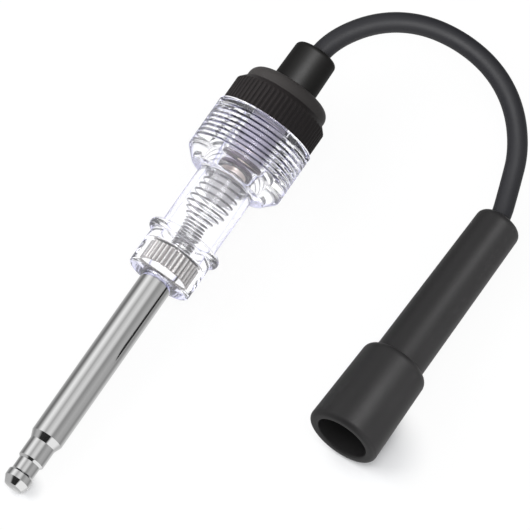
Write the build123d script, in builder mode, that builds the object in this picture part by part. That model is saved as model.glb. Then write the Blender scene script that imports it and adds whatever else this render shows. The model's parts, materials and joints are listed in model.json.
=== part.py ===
from build123d import *
import os
from math import asin, atan2, cos, degrees, pi, radians, sin, tan

# In-line ignition spark tester, lying as it comes to rest on a table: a probe rod in a clear
# barrel with an indicator lamp and its contact spring, a screw cap, and a short lead to a plug boot.
# Stations along the tool are counted from the end face of the probe tip.

# Probe tip, shaped as a 6.35 mm spark plug terminal
head_r = 3.175
head_face_r = 2.25
head_chamfer = 1.7
head_len = 3.85
head_back = 0.5
neck_r = 2.75
neck_len = 3.05
land_r = 3.25
land_edge = 0.55
land_len = 5.25
taper_len = 1.85

# Probe rod and the knurled insert that the clear hub is moulded round
rod_r = 4.0
rod_len = 45.4
rod_seat = 2.4
stud_r = 2.3
stud_rise = 3.4
stud_dome = 0.8
insert_r = 4.4
insert_len = 4.85
insert_flutes = 26
insert_flute_r = 0.32

# Clear housing: hub, flange, barrel, threaded collar and the neck under the cap
hub_r = 8.1
hub_len = 9.65
hub_edge = 0.8
hub_floor = 7.6
flange_r = 9.35
flange_len = 2.1
flange_round = 0.9
barrel_r = 7.2
barrel_len = 16.5
bore_r = 5.8
shelf_r = 9.75
collar_taper = 2.8
collar_r = 12.5
band_len = 1.8
thread_len = 9.6
thread_pitch = 1.24
thread_depth = 0.5
thread_crest = 0.4
thread_root = 0.3
rim_groove_depth = 0.8
rim_groove_len = 1.2
rim_lip = 0.35
lug_count = 6
lug_width = 2.9
lug_phase = -14.5
neck_outer_r = 9.6
neck_rise = 7.2

# Contact spring: close turns on the stud, a flare, then open turns round the lamp
wire_r = 0.26
spring_small_r = 2.6
spring_large_r = 4.85
close_turns = 9
close_pitch = 0.85
flare_turns = 3
flare_pitch = 1.3
open_turns = 8
coil_arcs = 4
spring_lean = 0.6
lean_turns = 14

# Indicator lamp
lamp_depth = 2.2
shell_r = 4.0
shell_skirt = 2.8
shell_wall = 0.22
shell_flange_r = 5.2
shell_flange = 0.7
shell_base_r = 3.6
shell_base_len = 4.2
bulb_r = 3.7
bulb_reach = 8.4
bulb_wall = 0.45
bulb_nose = 2.6
stem_len = 1.6
electrode_r = 0.55
electrode_gap = 2.7
electrode_reach = 5.2
electrode_wire_r = 0.2
insulator_r = 2.4
insulator_rise = 1.1
tip_contact_r = 1.2
tip_contact_rise = 1.1
tip_contact_round = 0.8

# Contact holder inside the cap
holder_socket_wall = 0.8
holder_spigot_len = 4.6
holder_flange_r = 8.8
holder_flange = 1.2
holder_neck_r = 4.6
holder_tail_r = 3.7
holder_tail_rise = 4.2
terminal_disc_r = 2.6
terminal_disc = 0.8
terminal_pin_r = 1.25
seal_thick = 0.5
seal_inner_r = 6.0

# Screw cap
cap_r = 12.0
grip_len = 7.5
grip_chamfer_r = 1.3
grip_chamfer = 1.5
flute_count = 60
flute_r = 0.42
flute_depth = 0.32
shoulder_r = 10.5
shoulder_len = 3.5
shoulder_round = 2.45
cap_wall_top = 1.9

# Strain relief on the cap
relief_r = 5.37
relief_base_r = 5.57
relief_len = 10.5
relief_round = 1.3

# Lead and plug boot
lead_r = 2.4
lead_inset = 0.8
lead_straight = 6.9
boot_lead_in = 1.0
shank_r = 5.63
shank_root_r = 6.28
shank_len = 43.7
shank_round = 2.0
cup_root_r = 8.33
cup_mouth_r = 9.0
cup_len = 23.45
cup_round = 2.0
mouth_r = 6.5
mouth_depth = 20.5
lip_round = 1.2
lip_inner_round = 0.5
boot_grip_len = 8.0
boot_yaw = 0.8
boot_end_x = 54.6
boot_end_y = -56.1
clip_r = 3.95
clip_wall = 0.4
clip_len = 22.0
clip_slots = 4
clip_slot = 0.9
clip_slot_len = 11.0
clip_flare = 0.8
crimp_len = 14.0
crimp_start = 3.0
snap_wire_r = 0.35
snap_from_end = 5.5
snap_opening = 40
snap_room = 0.5

# Clearances
running = 0.08
seat = 0.1
fit = 0.05
thread_play = 0.25

# Stations that follow from the sizes above
neck_at = head_len
land_at = neck_at + neck_len
taper_at = land_at + land_len
rod_at = taper_at + taper_len
hub_at = rod_at + rod_len
insert_at = hub_at + rod_seat
insert_top = insert_at + insert_len + fit
floor_at = hub_at + hub_floor
flange_at = hub_at + hub_len
barrel_at = flange_at + flange_len
shelf_at = barrel_at + barrel_len
band_at = shelf_at + collar_taper
thread_at = band_at + band_len
groove_at = thread_at + thread_len
lip_at = groove_at + rim_groove_len
collar_top = lip_at + rim_lip
neck_top = collar_top + neck_rise

cap_at = collar_top + seat
shoulder_at = cap_at + grip_len
cap_top = shoulder_at + shoulder_len
seal_at = neck_top + seat
holder_flange_at = seal_at + seal_thick
cap_ceiling = cap_top - cap_wall_top
relief_at = cap_top + seat
relief_top = relief_at + relief_len

lamp_flange_at = band_at + lamp_depth
lamp_mouth = lamp_flange_at - shell_skirt
lamp_tip = lamp_mouth - bulb_reach
socket_at = lamp_flange_at + shell_flange
base_top = socket_at + shell_base_len
insulator_top = base_top + insulator_rise
contact_top = insulator_top + tip_contact_rise
disc_at = contact_top + seat
pin_at = disc_at + terminal_disc
lead_at = relief_at + lead_inset

spring_foot = floor_at + wire_r + fit
spring_top = lamp_flange_at - wire_r - seat

# The tool rests on the lower edge of its collar and on the head of its tip
rest_slope = atan2(collar_r - head_r, band_at - head_chamfer)
relief_edge = relief_r - relief_round
tool_reach = (relief_top - relief_round) * cos(rest_slope) + relief_edge * sin(rest_slope) + relief_round
tool_back = head_face_r * sin(rest_slope)
tip_x = (tool_back - tool_reach) / 2
tip_z = head_r * cos(rest_slope) - head_chamfer * sin(rest_slope)
tool_dir = Vector(cos(rest_slope), 0, sin(rest_slope))
tool_up = Vector(-sin(rest_slope), 0, cos(rest_slope))
tip_point = Vector(tip_x, 0, tip_z)
tool_axis = Axis(tip_point, tool_dir)
# In this plane a sketch's x is the radius and its y is the station along the tool
section = Plane(origin=tip_point, x_dir=tool_up, z_dir=(0, 1, 0))
tool_plane = Plane(origin=tip_point, x_dir=tool_up, z_dir=tool_dir)

# The boot rests on the end of its shank and on the shoulder of its cup
boot_slope = asin((cup_root_r - shank_r) / (shank_len + cup_round))
boot_end_z = shank_r * cos(boot_slope)
boot_end = Vector(boot_end_x, boot_end_y, boot_end_z)
yaw = radians(boot_yaw)
boot_dir = Vector(-cos(boot_slope) * cos(yaw), -cos(boot_slope) * sin(yaw), sin(boot_slope))
boot_up = Vector(sin(boot_slope) * cos(yaw), sin(boot_slope) * sin(yaw), cos(boot_slope))
boot_axis = Axis(boot_end, boot_dir)
boot_section = Plane(origin=boot_end, x_dir=boot_up, z_dir=boot_up.cross(boot_dir))
boot_plane = Plane(origin=boot_end, x_dir=boot_up, z_dir=boot_dir)
boot_len = shank_len + cup_len

os.makedirs("parts", exist_ok=True)

# Probe rod, one turning from the tip's face to the stud that carries the spring
with BuildPart() as probe_rod:
    with BuildSketch(section):
        with BuildLine():
            Polyline(
                (0, 0),
                (head_face_r, 0),
                (head_r, head_chamfer),
                (head_r, head_len - head_back),
                (neck_r, head_len),
                (neck_r, land_at),
                (land_r, land_at + land_edge),
                (land_r, taper_at),
                (rod_r, rod_at),
                (rod_r, insert_at - fit),
                (stud_r, insert_at - fit),
                (stud_r, floor_at + stud_rise - stud_dome),
                (stud_r - stud_dome, floor_at + stud_rise),
                (0, floor_at + stud_rise),
                close=True,
            )
        make_face()
    revolve(axis=tool_axis)
probe_rod.part.label = "probe_rod"
export_step(probe_rod.part, "parts/probe_rod.step")

# Knurled insert in the hub, with straight flutes and a bore for the stud
with BuildPart() as knurled_insert:
    with BuildSketch(tool_plane.offset(insert_at)):
        Circle(insert_r)
        Circle(stud_r + fit, mode=Mode.SUBTRACT)
        with PolarLocations(insert_r, insert_flutes):
            Circle(insert_flute_r, mode=Mode.SUBTRACT)
    extrude(amount=insert_len)
knurled_insert.part.label = "knurled_insert"
export_step(knurled_insert.part, "parts/knurled_insert.step")

# Cutter for the collar's coarse thread: one right-hand helical groove, made upright
root_half = thread_root / 2
crest_half = (thread_pitch - thread_crest) / 2
flank = (crest_half - root_half) / thread_depth
with BuildPart() as thread_cutter:
    with BuildLine() as thread_path:
        Helix(pitch=thread_pitch, height=thread_len - thread_pitch, radius=collar_r)
    with BuildSketch(Plane(origin=thread_path.line @ 0, x_dir=(1, 0, 0), z_dir=thread_path.line % 0)):
        with BuildLine():
            Polyline(
                (seat, -crest_half - flank * seat),
                (-thread_depth, -root_half),
                (-thread_depth, root_half),
                (seat, crest_half + flank * seat),
                close=True,
            )
        make_face()
    sweep(path=thread_path.line, is_frenet=True)
thread_place = tool_plane.offset(thread_at + thread_pitch / 2).location

# Clear housing, one moulding
with BuildPart() as housing:
    with BuildSketch(section):
        with BuildLine():
            Polyline(
                (rod_r + fit, hub_at),
                (hub_r, hub_at),
                (hub_r, flange_at),
                (flange_r, flange_at),
                (flange_r, barrel_at),
                (barrel_r, barrel_at),
                (barrel_r, shelf_at),
                (shelf_r, shelf_at),
                (collar_r, band_at),
                (collar_r, collar_top),
                (neck_outer_r, collar_top),
                (neck_outer_r, neck_top),
                (bore_r, neck_top),
                (bore_r, floor_at),
                (stud_r + fit, floor_at),
                (stud_r + fit, insert_top),
                (insert_r + fit, insert_top),
                (insert_r + fit, insert_at - fit),
                (rod_r + fit, insert_at - fit),
                close=True,
            )
        make_face()
        hub_corner = (hub_r, hub_at, 0)
        flange_low = (flange_r, flange_at, 0)
        flange_high = (flange_r, barrel_at, 0)
        chamfer(vertices().sort_by_distance(hub_corner)[0], hub_edge)
        fillet(vertices().sort_by_distance(flange_low)[0], flange_round)
        fillet(vertices().sort_by_distance(flange_high)[0], flange_round)
    revolve(axis=tool_axis)
    # The groove under the rim, bridged by small lugs
    with BuildSketch(tool_plane.offset(groove_at)):
        Circle(collar_r + rim_groove_depth)
        Circle(collar_r - rim_groove_depth, mode=Mode.SUBTRACT)
        with PolarLocations(collar_r, lug_count, lug_phase):
            Rectangle(3 * rim_groove_depth, lug_width, mode=Mode.SUBTRACT)
    extrude(amount=rim_groove_len, mode=Mode.SUBTRACT)
    add(thread_place * thread_cutter.part, mode=Mode.SUBTRACT)
housing.part.label = "housing"
export_step(housing.part, "parts/housing.step")

# Contact spring: one wire, wound in quarter turns that run into one another
coil_turns = close_turns + flare_turns + open_turns
open_len = spring_top - spring_foot - close_turns * close_pitch - flare_turns * flare_pitch
open_pitch = open_len / open_turns
tool_side = tool_dir.cross(tool_up)
# The free part of the spring bows a little to one side, from the end of the stud
lean_from = (stud_rise - wire_r - fit) / close_pitch


def coil_point(turn):
    """Return the point on the wire's centre line that lies so many turns from its foot."""
    closed = min(turn, close_turns)
    flared = min(max(turn - close_turns, 0), flare_turns)
    opened = max(turn - close_turns - flare_turns, 0)
    rise = closed * close_pitch + flared * flare_pitch + opened * open_pitch
    reach = spring_small_r + (spring_large_r - spring_small_r) * flared / flare_turns
    angle = 2 * pi * turn
    bowed = min(max(turn - lean_from, 0), lean_turns)
    lean = spring_lean * sin(pi * bowed / lean_turns) ** 2
    centre = tip_point + tool_dir * (spring_foot + rise) - tool_side * lean
    return centre + tool_up * (reach * cos(angle)) + tool_side * (reach * sin(angle))


with BuildPart() as contact_spring:
    with BuildLine() as coil:
        for quarter in range(coil_turns * coil_arcs):
            ThreePointArc(
                coil_point(quarter / coil_arcs),
                coil_point((quarter + 0.5) / coil_arcs),
                coil_point((quarter + 1) / coil_arcs),
            )
    with BuildSketch(Plane(origin=coil.line @ 0, z_dir=coil.line % 0)):
        Circle(wire_r)
    sweep(path=coil.line)
contact_spring.part.label = "contact_spring"
export_step(contact_spring.part, "parts/contact_spring.step")

# Lamp shell: brass, with a skirt round the bulb, a flange for the spring and a base in the holder
with BuildPart() as lamp_shell:
    with BuildSketch(section):
        with BuildLine():
            Polyline(
                (shell_r - shell_wall, lamp_mouth),
                (shell_r, lamp_mouth),
                (shell_r, lamp_flange_at),
                (shell_flange_r, lamp_flange_at),
                (shell_flange_r, socket_at),
                (shell_base_r, socket_at),
                (shell_base_r, base_top),
                (insulator_r + fit, base_top),
                (insulator_r + fit, base_top - shell_wall),
                (shell_base_r - shell_wall, base_top - shell_wall),
                (shell_base_r - shell_wall, socket_at - shell_wall),
                (shell_r - shell_wall, socket_at - shell_wall),
                close=True,
            )
        make_face()
    revolve(axis=tool_axis)
lamp_shell.part.label = "lamp_shell"
export_step(lamp_shell.part, "parts/lamp_shell.step")

# Lamp bulb: a thin glass tube closed by a tapered, rounded end
bulb_top = lamp_flange_at
bulb_shoulder = lamp_tip + bulb_nose
with BuildPart() as lamp_bulb:
    with BuildSketch(section):
        with BuildLine():
            Line((0, lamp_tip), (0, lamp_tip + bulb_wall))
            Spline(
                (0, lamp_tip + bulb_wall),
                (bulb_r - bulb_wall, bulb_shoulder),
                tangents=[(1, 0), (0, 1)],
            )
            Line((bulb_r - bulb_wall, bulb_shoulder), (bulb_r - bulb_wall, bulb_top))
            Line((bulb_r - bulb_wall, bulb_top), (bulb_r, bulb_top))
            Line((bulb_r, bulb_top), (bulb_r, bulb_shoulder))
            Spline((bulb_r, bulb_shoulder), (0, lamp_tip), tangents=[(0, -1), (-1, 0)])
        make_face()
    revolve(axis=tool_axis)
lamp_bulb.part.label = "lamp_bulb"
export_step(lamp_bulb.part, "parts/lamp_bulb.step")

# Glass stem that closes the bulb and carries both electrodes
stem_at = bulb_top - stem_len
electrode_x = electrode_gap / 2
with BuildPart() as lamp_stem:
    with BuildSketch(tool_plane.offset(stem_at)):
        Circle(bulb_r - bulb_wall - fit)
        with GridLocations(0, electrode_gap, 1, 2):
            Circle(electrode_wire_r + fit, mode=Mode.SUBTRACT)
    extrude(amount=stem_len)
lamp_stem.part.label = "lamp_stem"
export_step(lamp_stem.part, "parts/lamp_stem.step")

# Electrodes: a short thick rod on a thin wire, one for the shell and one for the tip contact
for name, side in (("lamp_electrode_shell", 1), ("lamp_electrode_tip", -1)):
    with BuildPart() as electrode:
        with BuildSketch(tool_plane.offset(stem_at - electrode_reach)):
            with Locations((0, side * electrode_x)):
                Circle(electrode_r)
        extrude(amount=electrode_reach - fit)
        with BuildSketch(tool_plane.offset(stem_at - electrode_reach)):
            with Locations((0, side * electrode_x)):
                Circle(electrode_wire_r)
        extrude(amount=base_top - fit - shell_wall - stem_at + electrode_reach)
    electrode.part.label = name
    export_step(electrode.part, f"parts/{name}.step")

# Insulating bead in the end of the lamp base
with BuildPart() as lamp_insulator:
    with BuildSketch(section):
        with BuildLine():
            Polyline(
                (0, base_top - shell_wall),
                (insulator_r, base_top - shell_wall),
                (insulator_r, base_top),
                (tip_contact_r + fit, insulator_top),
                (0, insulator_top),
                close=True,
            )
        make_face()
    revolve(axis=tool_axis)
lamp_insulator.part.label = "lamp_insulator"
export_step(lamp_insulator.part, "parts/lamp_insulator.step")

# Domed tip contact of the lamp
with BuildPart() as lamp_contact:
    with BuildSketch(section):
        with BuildLine():
            Polyline(
                (0, insulator_top),
                (tip_contact_r, insulator_top),
                (tip_contact_r, contact_top),
                (0, contact_top),
                close=True,
            )
        make_face()
        fillet(vertices().sort_by_distance((tip_contact_r, contact_top, 0))[0], tip_contact_round)
    revolve(axis=tool_axis)
lamp_contact.part.label = "lamp_contact"
export_step(lamp_contact.part, "parts/lamp_contact.step")

# Contact holder: the socket for the lamp, the flange that the cap bears on and the neck it turns on
spigot_r = bore_r - fit
spigot_at = holder_flange_at - holder_spigot_len
socket_r = shell_base_r + fit
socket_outer_r = socket_r + holder_socket_wall
tail_top = relief_at + holder_tail_rise
with BuildPart() as contact_holder:
    with BuildSketch(section):
        with BuildLine():
            Polyline(
                (socket_r, socket_at + fit),
                (socket_outer_r, socket_at + fit),
                (socket_outer_r, spigot_at),
                (spigot_r, spigot_at),
                (spigot_r, holder_flange_at),
                (holder_flange_r, holder_flange_at),
                (holder_flange_r, holder_flange_at + holder_flange),
                (holder_neck_r, holder_flange_at + holder_flange),
                (holder_neck_r, relief_at),
                (holder_tail_r, relief_at),
                (holder_tail_r, tail_top),
                (lead_r + fit, tail_top),
                (lead_r + fit, lead_at),
                (terminal_pin_r + fit, lead_at),
                (terminal_pin_r + fit, pin_at),
                (terminal_disc_r + fit, pin_at),
                (terminal_disc_r + fit, disc_at),
                (socket_r, disc_at - holder_socket_wall),
                close=True,
            )
        make_face()
    revolve(axis=tool_axis)
contact_holder.part.label = "contact_holder"
export_step(contact_holder.part, "parts/contact_holder.step")

# Lead terminal: a disc that meets the lamp's tip contact, on a pin that reaches the lead
with BuildPart() as lead_terminal:
    with BuildSketch(tool_plane.offset(disc_at)):
        Circle(terminal_disc_r)
    extrude(amount=terminal_disc - fit)
    with BuildSketch(tool_plane.offset(disc_at)):
        Circle(terminal_pin_r)
    extrude(amount=lead_at - disc_at)
lead_terminal.part.label = "lead_terminal"
export_step(lead_terminal.part, "parts/lead_terminal.step")

# Sealing ring between the neck of the housing and the holder's flange
with BuildPart() as sealing_ring:
    with BuildSketch(tool_plane.offset(seal_at)):
        Circle(holder_flange_r)
        Circle(seal_inner_r, mode=Mode.SUBTRACT)
    extrude(amount=seal_thick)
sealing_ring.part.label = "sealing_ring"
export_step(sealing_ring.part, "parts/sealing_ring.step")

# Screw cap with a fluted grip and a rounded shoulder
with BuildPart() as screw_cap:
    with BuildSketch(section):
        with BuildLine():
            Polyline(
                (neck_outer_r + thread_play, cap_at),
                (cap_r, cap_at),
                (cap_r, shoulder_at - grip_chamfer),
                (cap_r - grip_chamfer_r, shoulder_at),
                (shoulder_r, shoulder_at),
                (shoulder_r, cap_top),
                (holder_neck_r + running, cap_top),
                (holder_neck_r + running, cap_ceiling),
                (holder_flange_r + thread_play, cap_ceiling),
                (holder_flange_r + thread_play, neck_top),
                (neck_outer_r + thread_play, neck_top),
                close=True,
            )
        make_face()
        shoulder_corner = (shoulder_r, cap_top, 0)
        fillet(vertices().sort_by_distance(shoulder_corner)[0], shoulder_round)
    revolve(axis=tool_axis)
    with BuildSketch(tool_plane.offset(cap_at)):
        with PolarLocations(cap_r + flute_r - flute_depth, flute_count):
            Circle(flute_r)
    extrude(amount=grip_len, mode=Mode.SUBTRACT)
screw_cap.part.label = "screw_cap"
export_step(screw_cap.part, "parts/screw_cap.step")

# Rubber strain relief pressed over the holder's tail
with BuildPart() as strain_relief:
    with BuildSketch(section):
        with BuildLine():
            Polyline(
                (holder_tail_r + fit, relief_at),
                (relief_base_r, relief_at),
                (relief_r, relief_top),
                (lead_r + fit, relief_top),
                (lead_r + fit, tail_top + fit),
                (holder_tail_r + fit, tail_top + fit),
                close=True,
            )
        make_face()
        relief_corner = (relief_r, relief_top, 0)
        fillet(vertices().sort_by_distance(relief_corner)[0], relief_round)
    revolve(axis=tool_axis)
strain_relief.part.label = "strain_relief"
export_step(strain_relief.part, "parts/strain_relief.step")

# Lead: from the holder, round its own bow, into the shank of the boot
lead_bend_at = lead_at + lead_straight
boot_entry = boot_end + boot_dir * boot_lead_in
boot_inside = boot_end + boot_dir * boot_grip_len
lead_route = [
    tip_point + tool_dir * lead_at,
    tip_point + tool_dir * lead_bend_at,
    Vector(67.3, -1.4, 16.6),
    Vector(75.9, -7.4, 16.9),
    Vector(81.4, -15.6, 16.2),
    Vector(83.9, -25.2, 14.5),
    Vector(82.8, -34.8, 12.3),
    Vector(78.3, -43.3, 10.0),
    Vector(70.8, -49.8, 7.9),
    Vector(62.6, -53.0, 6.3),
    boot_entry,
    boot_inside,
]
lead_radii = []
for before, here, after in zip(lead_route, lead_route[1:], lead_route[2:]):
    turn = radians((here - before).get_angle(after - here))
    shorter = min((here - before).length, (after - here).length)
    lead_radii.append(0.45 * shorter / tan(turn / 2))
print("lead radii:", ", ".join(f"{r:.1f}" for r in lead_radii))
with BuildPart() as lead:
    with BuildLine() as lead_path:
        FilletPolyline(*lead_route, radius=lead_radii)
    with BuildSketch(Plane(origin=lead_path.line @ 0, z_dir=lead_path.line % 0)):
        Circle(lead_r)
    sweep(path=lead_path.line)
lead.part.label = "lead"
export_step(lead.part, "parts/lead.step")
lead_length = lead_path.wire().length
print(f"lead length {lead_length:.1f}, volume {lead.part.volume:.0f}")
print(f"section times length {pi * lead_r**2 * lead_length:.0f}")

# Plug boot: a shank that grips the lead and a wider cup for the plug, one rubber moulding
crimp_bore_r = lead_r + fit
crimp_r = crimp_bore_r + clip_wall
crimp_end = crimp_start + crimp_len
clip_start = crimp_end + clip_flare
clip_end = clip_start + clip_len
snap_at = clip_end - snap_from_end
snap_ring_r = clip_r + fit + snap_wire_r
cup_floor = boot_len - mouth_depth
with BuildPart() as boot:
    with BuildSketch(boot_section):
        with BuildLine():
            Polyline(
                (lead_r + fit, 0),
                (shank_r, 0),
                (shank_root_r, shank_len),
                (cup_root_r, shank_len),
                (cup_mouth_r, boot_len),
                (mouth_r, boot_len),
                (mouth_r, cup_floor),
                (snap_ring_r + snap_wire_r + fit, cup_floor),
                (snap_ring_r + snap_wire_r + fit, snap_at - snap_room),
                (clip_r + fit, snap_at - snap_room),
                (clip_r + fit, crimp_end),
                (crimp_r + fit, crimp_end),
                (crimp_r + fit, crimp_start - fit),
                (lead_r + fit, crimp_start - fit),
                close=True,
            )
        make_face()
        shank_corner = (shank_r, 0, 0)
        cup_corner = (cup_root_r, shank_len, 0)
        lip_outer = (cup_mouth_r, boot_len, 0)
        lip_inner = (mouth_r, boot_len, 0)
        fillet(vertices().sort_by_distance(shank_corner)[0], shank_round)
        fillet(vertices().sort_by_distance(cup_corner)[0], cup_round)
        fillet(vertices().sort_by_distance(lip_outer)[0], lip_round)
        fillet(vertices().sort_by_distance(lip_inner)[0], lip_inner_round)
    revolve(axis=boot_axis)
boot.part.label = "boot"
export_step(boot.part, "parts/boot.step")

# Plug clip in the boot: a crimp barrel round the lead and a slotted socket, in one steel pressing
with BuildPart() as plug_clip:
    with BuildSketch(boot_section):
        with BuildLine():
            Polyline(
                (crimp_bore_r, crimp_start),
                (crimp_r, crimp_start),
                (crimp_r, crimp_end),
                (clip_r, clip_start),
                (clip_r, clip_end),
                (clip_r - clip_wall, clip_end),
                (clip_r - clip_wall, clip_start),
                (crimp_bore_r, crimp_end),
                close=True,
            )
        make_face()
    revolve(axis=boot_axis)
    with BuildSketch(boot_plane.offset(clip_end - clip_slot_len)):
        with PolarLocations(clip_r - clip_wall / 2, clip_slots):
            Rectangle(3 * clip_wall, clip_slot)
    extrude(amount=clip_slot_len, mode=Mode.SUBTRACT)
plug_clip.part.label = "plug_clip"
export_step(plug_clip.part, "parts/plug_clip.step")

# Open wire ring that closes the socket on the plug's terminal
with BuildPart() as snap_ring:
    with BuildSketch(boot_section):
        with Locations((snap_ring_r, snap_at)):
            Circle(snap_wire_r)
    revolve(axis=boot_axis, revolution_arc=360 - snap_opening)
snap_ring.part.label = "snap_ring"
export_step(snap_ring.part, "parts/snap_ring.step")
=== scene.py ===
"""Scene of an in-line ignition spark tester that lies on a white table.

Lengths are in millimetres while a piece is modelled. Each piece is turned about its own Z, and is
then set on the axis of the tool or of the plug boot, in metres, where the frame has it.
"""

import json
import logging
from dataclasses import dataclass
from enum import Enum
from functools import cache
from math import atan2, cos, degrees, pi, radians, sin, sqrt
from typing import Callable, Iterable, Sequence

import bmesh
import bpy
from mathutils import Matrix, Vector

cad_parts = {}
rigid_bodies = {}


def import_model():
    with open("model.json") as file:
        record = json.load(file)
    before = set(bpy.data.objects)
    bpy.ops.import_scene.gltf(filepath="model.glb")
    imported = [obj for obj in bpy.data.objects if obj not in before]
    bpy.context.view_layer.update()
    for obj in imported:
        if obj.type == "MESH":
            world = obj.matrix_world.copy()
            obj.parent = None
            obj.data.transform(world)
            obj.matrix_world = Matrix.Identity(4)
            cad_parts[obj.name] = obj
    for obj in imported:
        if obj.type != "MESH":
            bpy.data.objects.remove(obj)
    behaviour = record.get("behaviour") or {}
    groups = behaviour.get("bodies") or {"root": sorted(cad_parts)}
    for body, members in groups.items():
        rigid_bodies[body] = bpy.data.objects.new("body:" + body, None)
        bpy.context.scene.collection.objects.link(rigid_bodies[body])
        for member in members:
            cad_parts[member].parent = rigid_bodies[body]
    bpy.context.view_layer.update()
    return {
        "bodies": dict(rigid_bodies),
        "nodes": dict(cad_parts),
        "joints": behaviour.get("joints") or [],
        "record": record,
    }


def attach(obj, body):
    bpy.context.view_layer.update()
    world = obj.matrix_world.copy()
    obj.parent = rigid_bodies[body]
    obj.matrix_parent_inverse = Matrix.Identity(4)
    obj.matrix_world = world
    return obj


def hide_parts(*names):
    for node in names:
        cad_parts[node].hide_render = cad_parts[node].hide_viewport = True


MILLIMETRE = 0.001
# Two places nearer than this are the same place, in millimetres
CLOSE = 0.01
# The attribute by which a mesh tells its material where it is marked with painted shade and painted
# reflections, from 0 to 1
MARK = "mark"
log = logging.getLogger("spark_tester")

Colour = tuple[float, float, float]
# Takes the radius, the station and the angle in turns of a corner
Rule = Callable[[float, float, float], float]


class Body(Enum):
    """The moving bodies of the frame."""

    HOUSING = "housing"
    LEAD = "lead_assembly"
    CAP = "screw_cap"


class Ray(Enum):
    """Outputs of the Light Path node that tell what a ray is for."""

    CAMERA = "Is Camera Ray"
    GLOSSY = "Is Glossy Ray"
    THROUGH = "Is Transmission Ray"


@dataclass(frozen=True)
class Span:
    """How far a piece reaches along an axis and round it, in millimetres."""

    low: float
    high: float
    reach: float


@dataclass(frozen=True)
class Spindle:
    """A straight axis of the frame that pieces are turned about.

    Args:
        origin: the point where stations start, in metres.
        along: the unit direction in which stations grow.
    """

    origin: Vector
    along: Vector

    @property
    def up(self) -> Vector:
        """The direction square to the axis that points most nearly up."""
        return (Vector((0, 0, 1)) - self.along * self.along.z).normalized()

    @property
    def matrix(self) -> Matrix:
        """The change from a piece's own millimetres to the frame's metres."""
        side = self.along.cross(self.up)
        turn = Matrix((self.up, side, self.along)).transposed().to_4x4()
        return Matrix.Translation(self.origin) @ turn @ Matrix.Scale(MILLIMETRE, 4)

    def span(self, node: bpy.types.Object) -> Span:
        """Measure a node of the frame along this axis.

        Args:
            node: the object of the node.

        Returns:
            Its lowest and highest station and its largest radius.
        """
        offsets = [vertex.co - self.origin for vertex in node.data.vertices]
        stations = [offset.dot(self.along) for offset in offsets]
        reaches = [(offset - self.along * at).length for offset, at in zip(offsets, stations)]
        return Span(min(stations) / MILLIMETRE, max(stations) / MILLIMETRE, max(reaches) / MILLIMETRE)

    @classmethod
    def through(cls, point: Sequence[float], along: Sequence[float], node: bpy.types.Object) -> "Spindle":
        """Make the axis through a point whose stations start at a node's lowest end.

        Args:
            point: any point on the axis, in metres.
            along: the direction of the axis.
            node: the object whose lowest end is station zero.

        Returns:
            The axis.
        """
        direction = Vector(along).normalized()
        first = cls(Vector(point), direction)
        return cls(first.origin + direction * first.span(node).low * MILLIMETRE, direction)


def start_fresh() -> None:
    """Leave edit mode and deselect every object."""
    if bpy.context.object and bpy.context.object.mode != "OBJECT":
        bpy.ops.object.mode_set(mode="OBJECT")
    bpy.ops.object.select_all(action="DESELECT")


def smoothstep(low: float, high: float, value: float) -> float:
    """Return 0 below low, 1 above high, and a smooth rise between the two."""
    share = min(max((value - low) / (high - low), 0.0), 1.0)
    return share * share * (3 - 2 * share)


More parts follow.
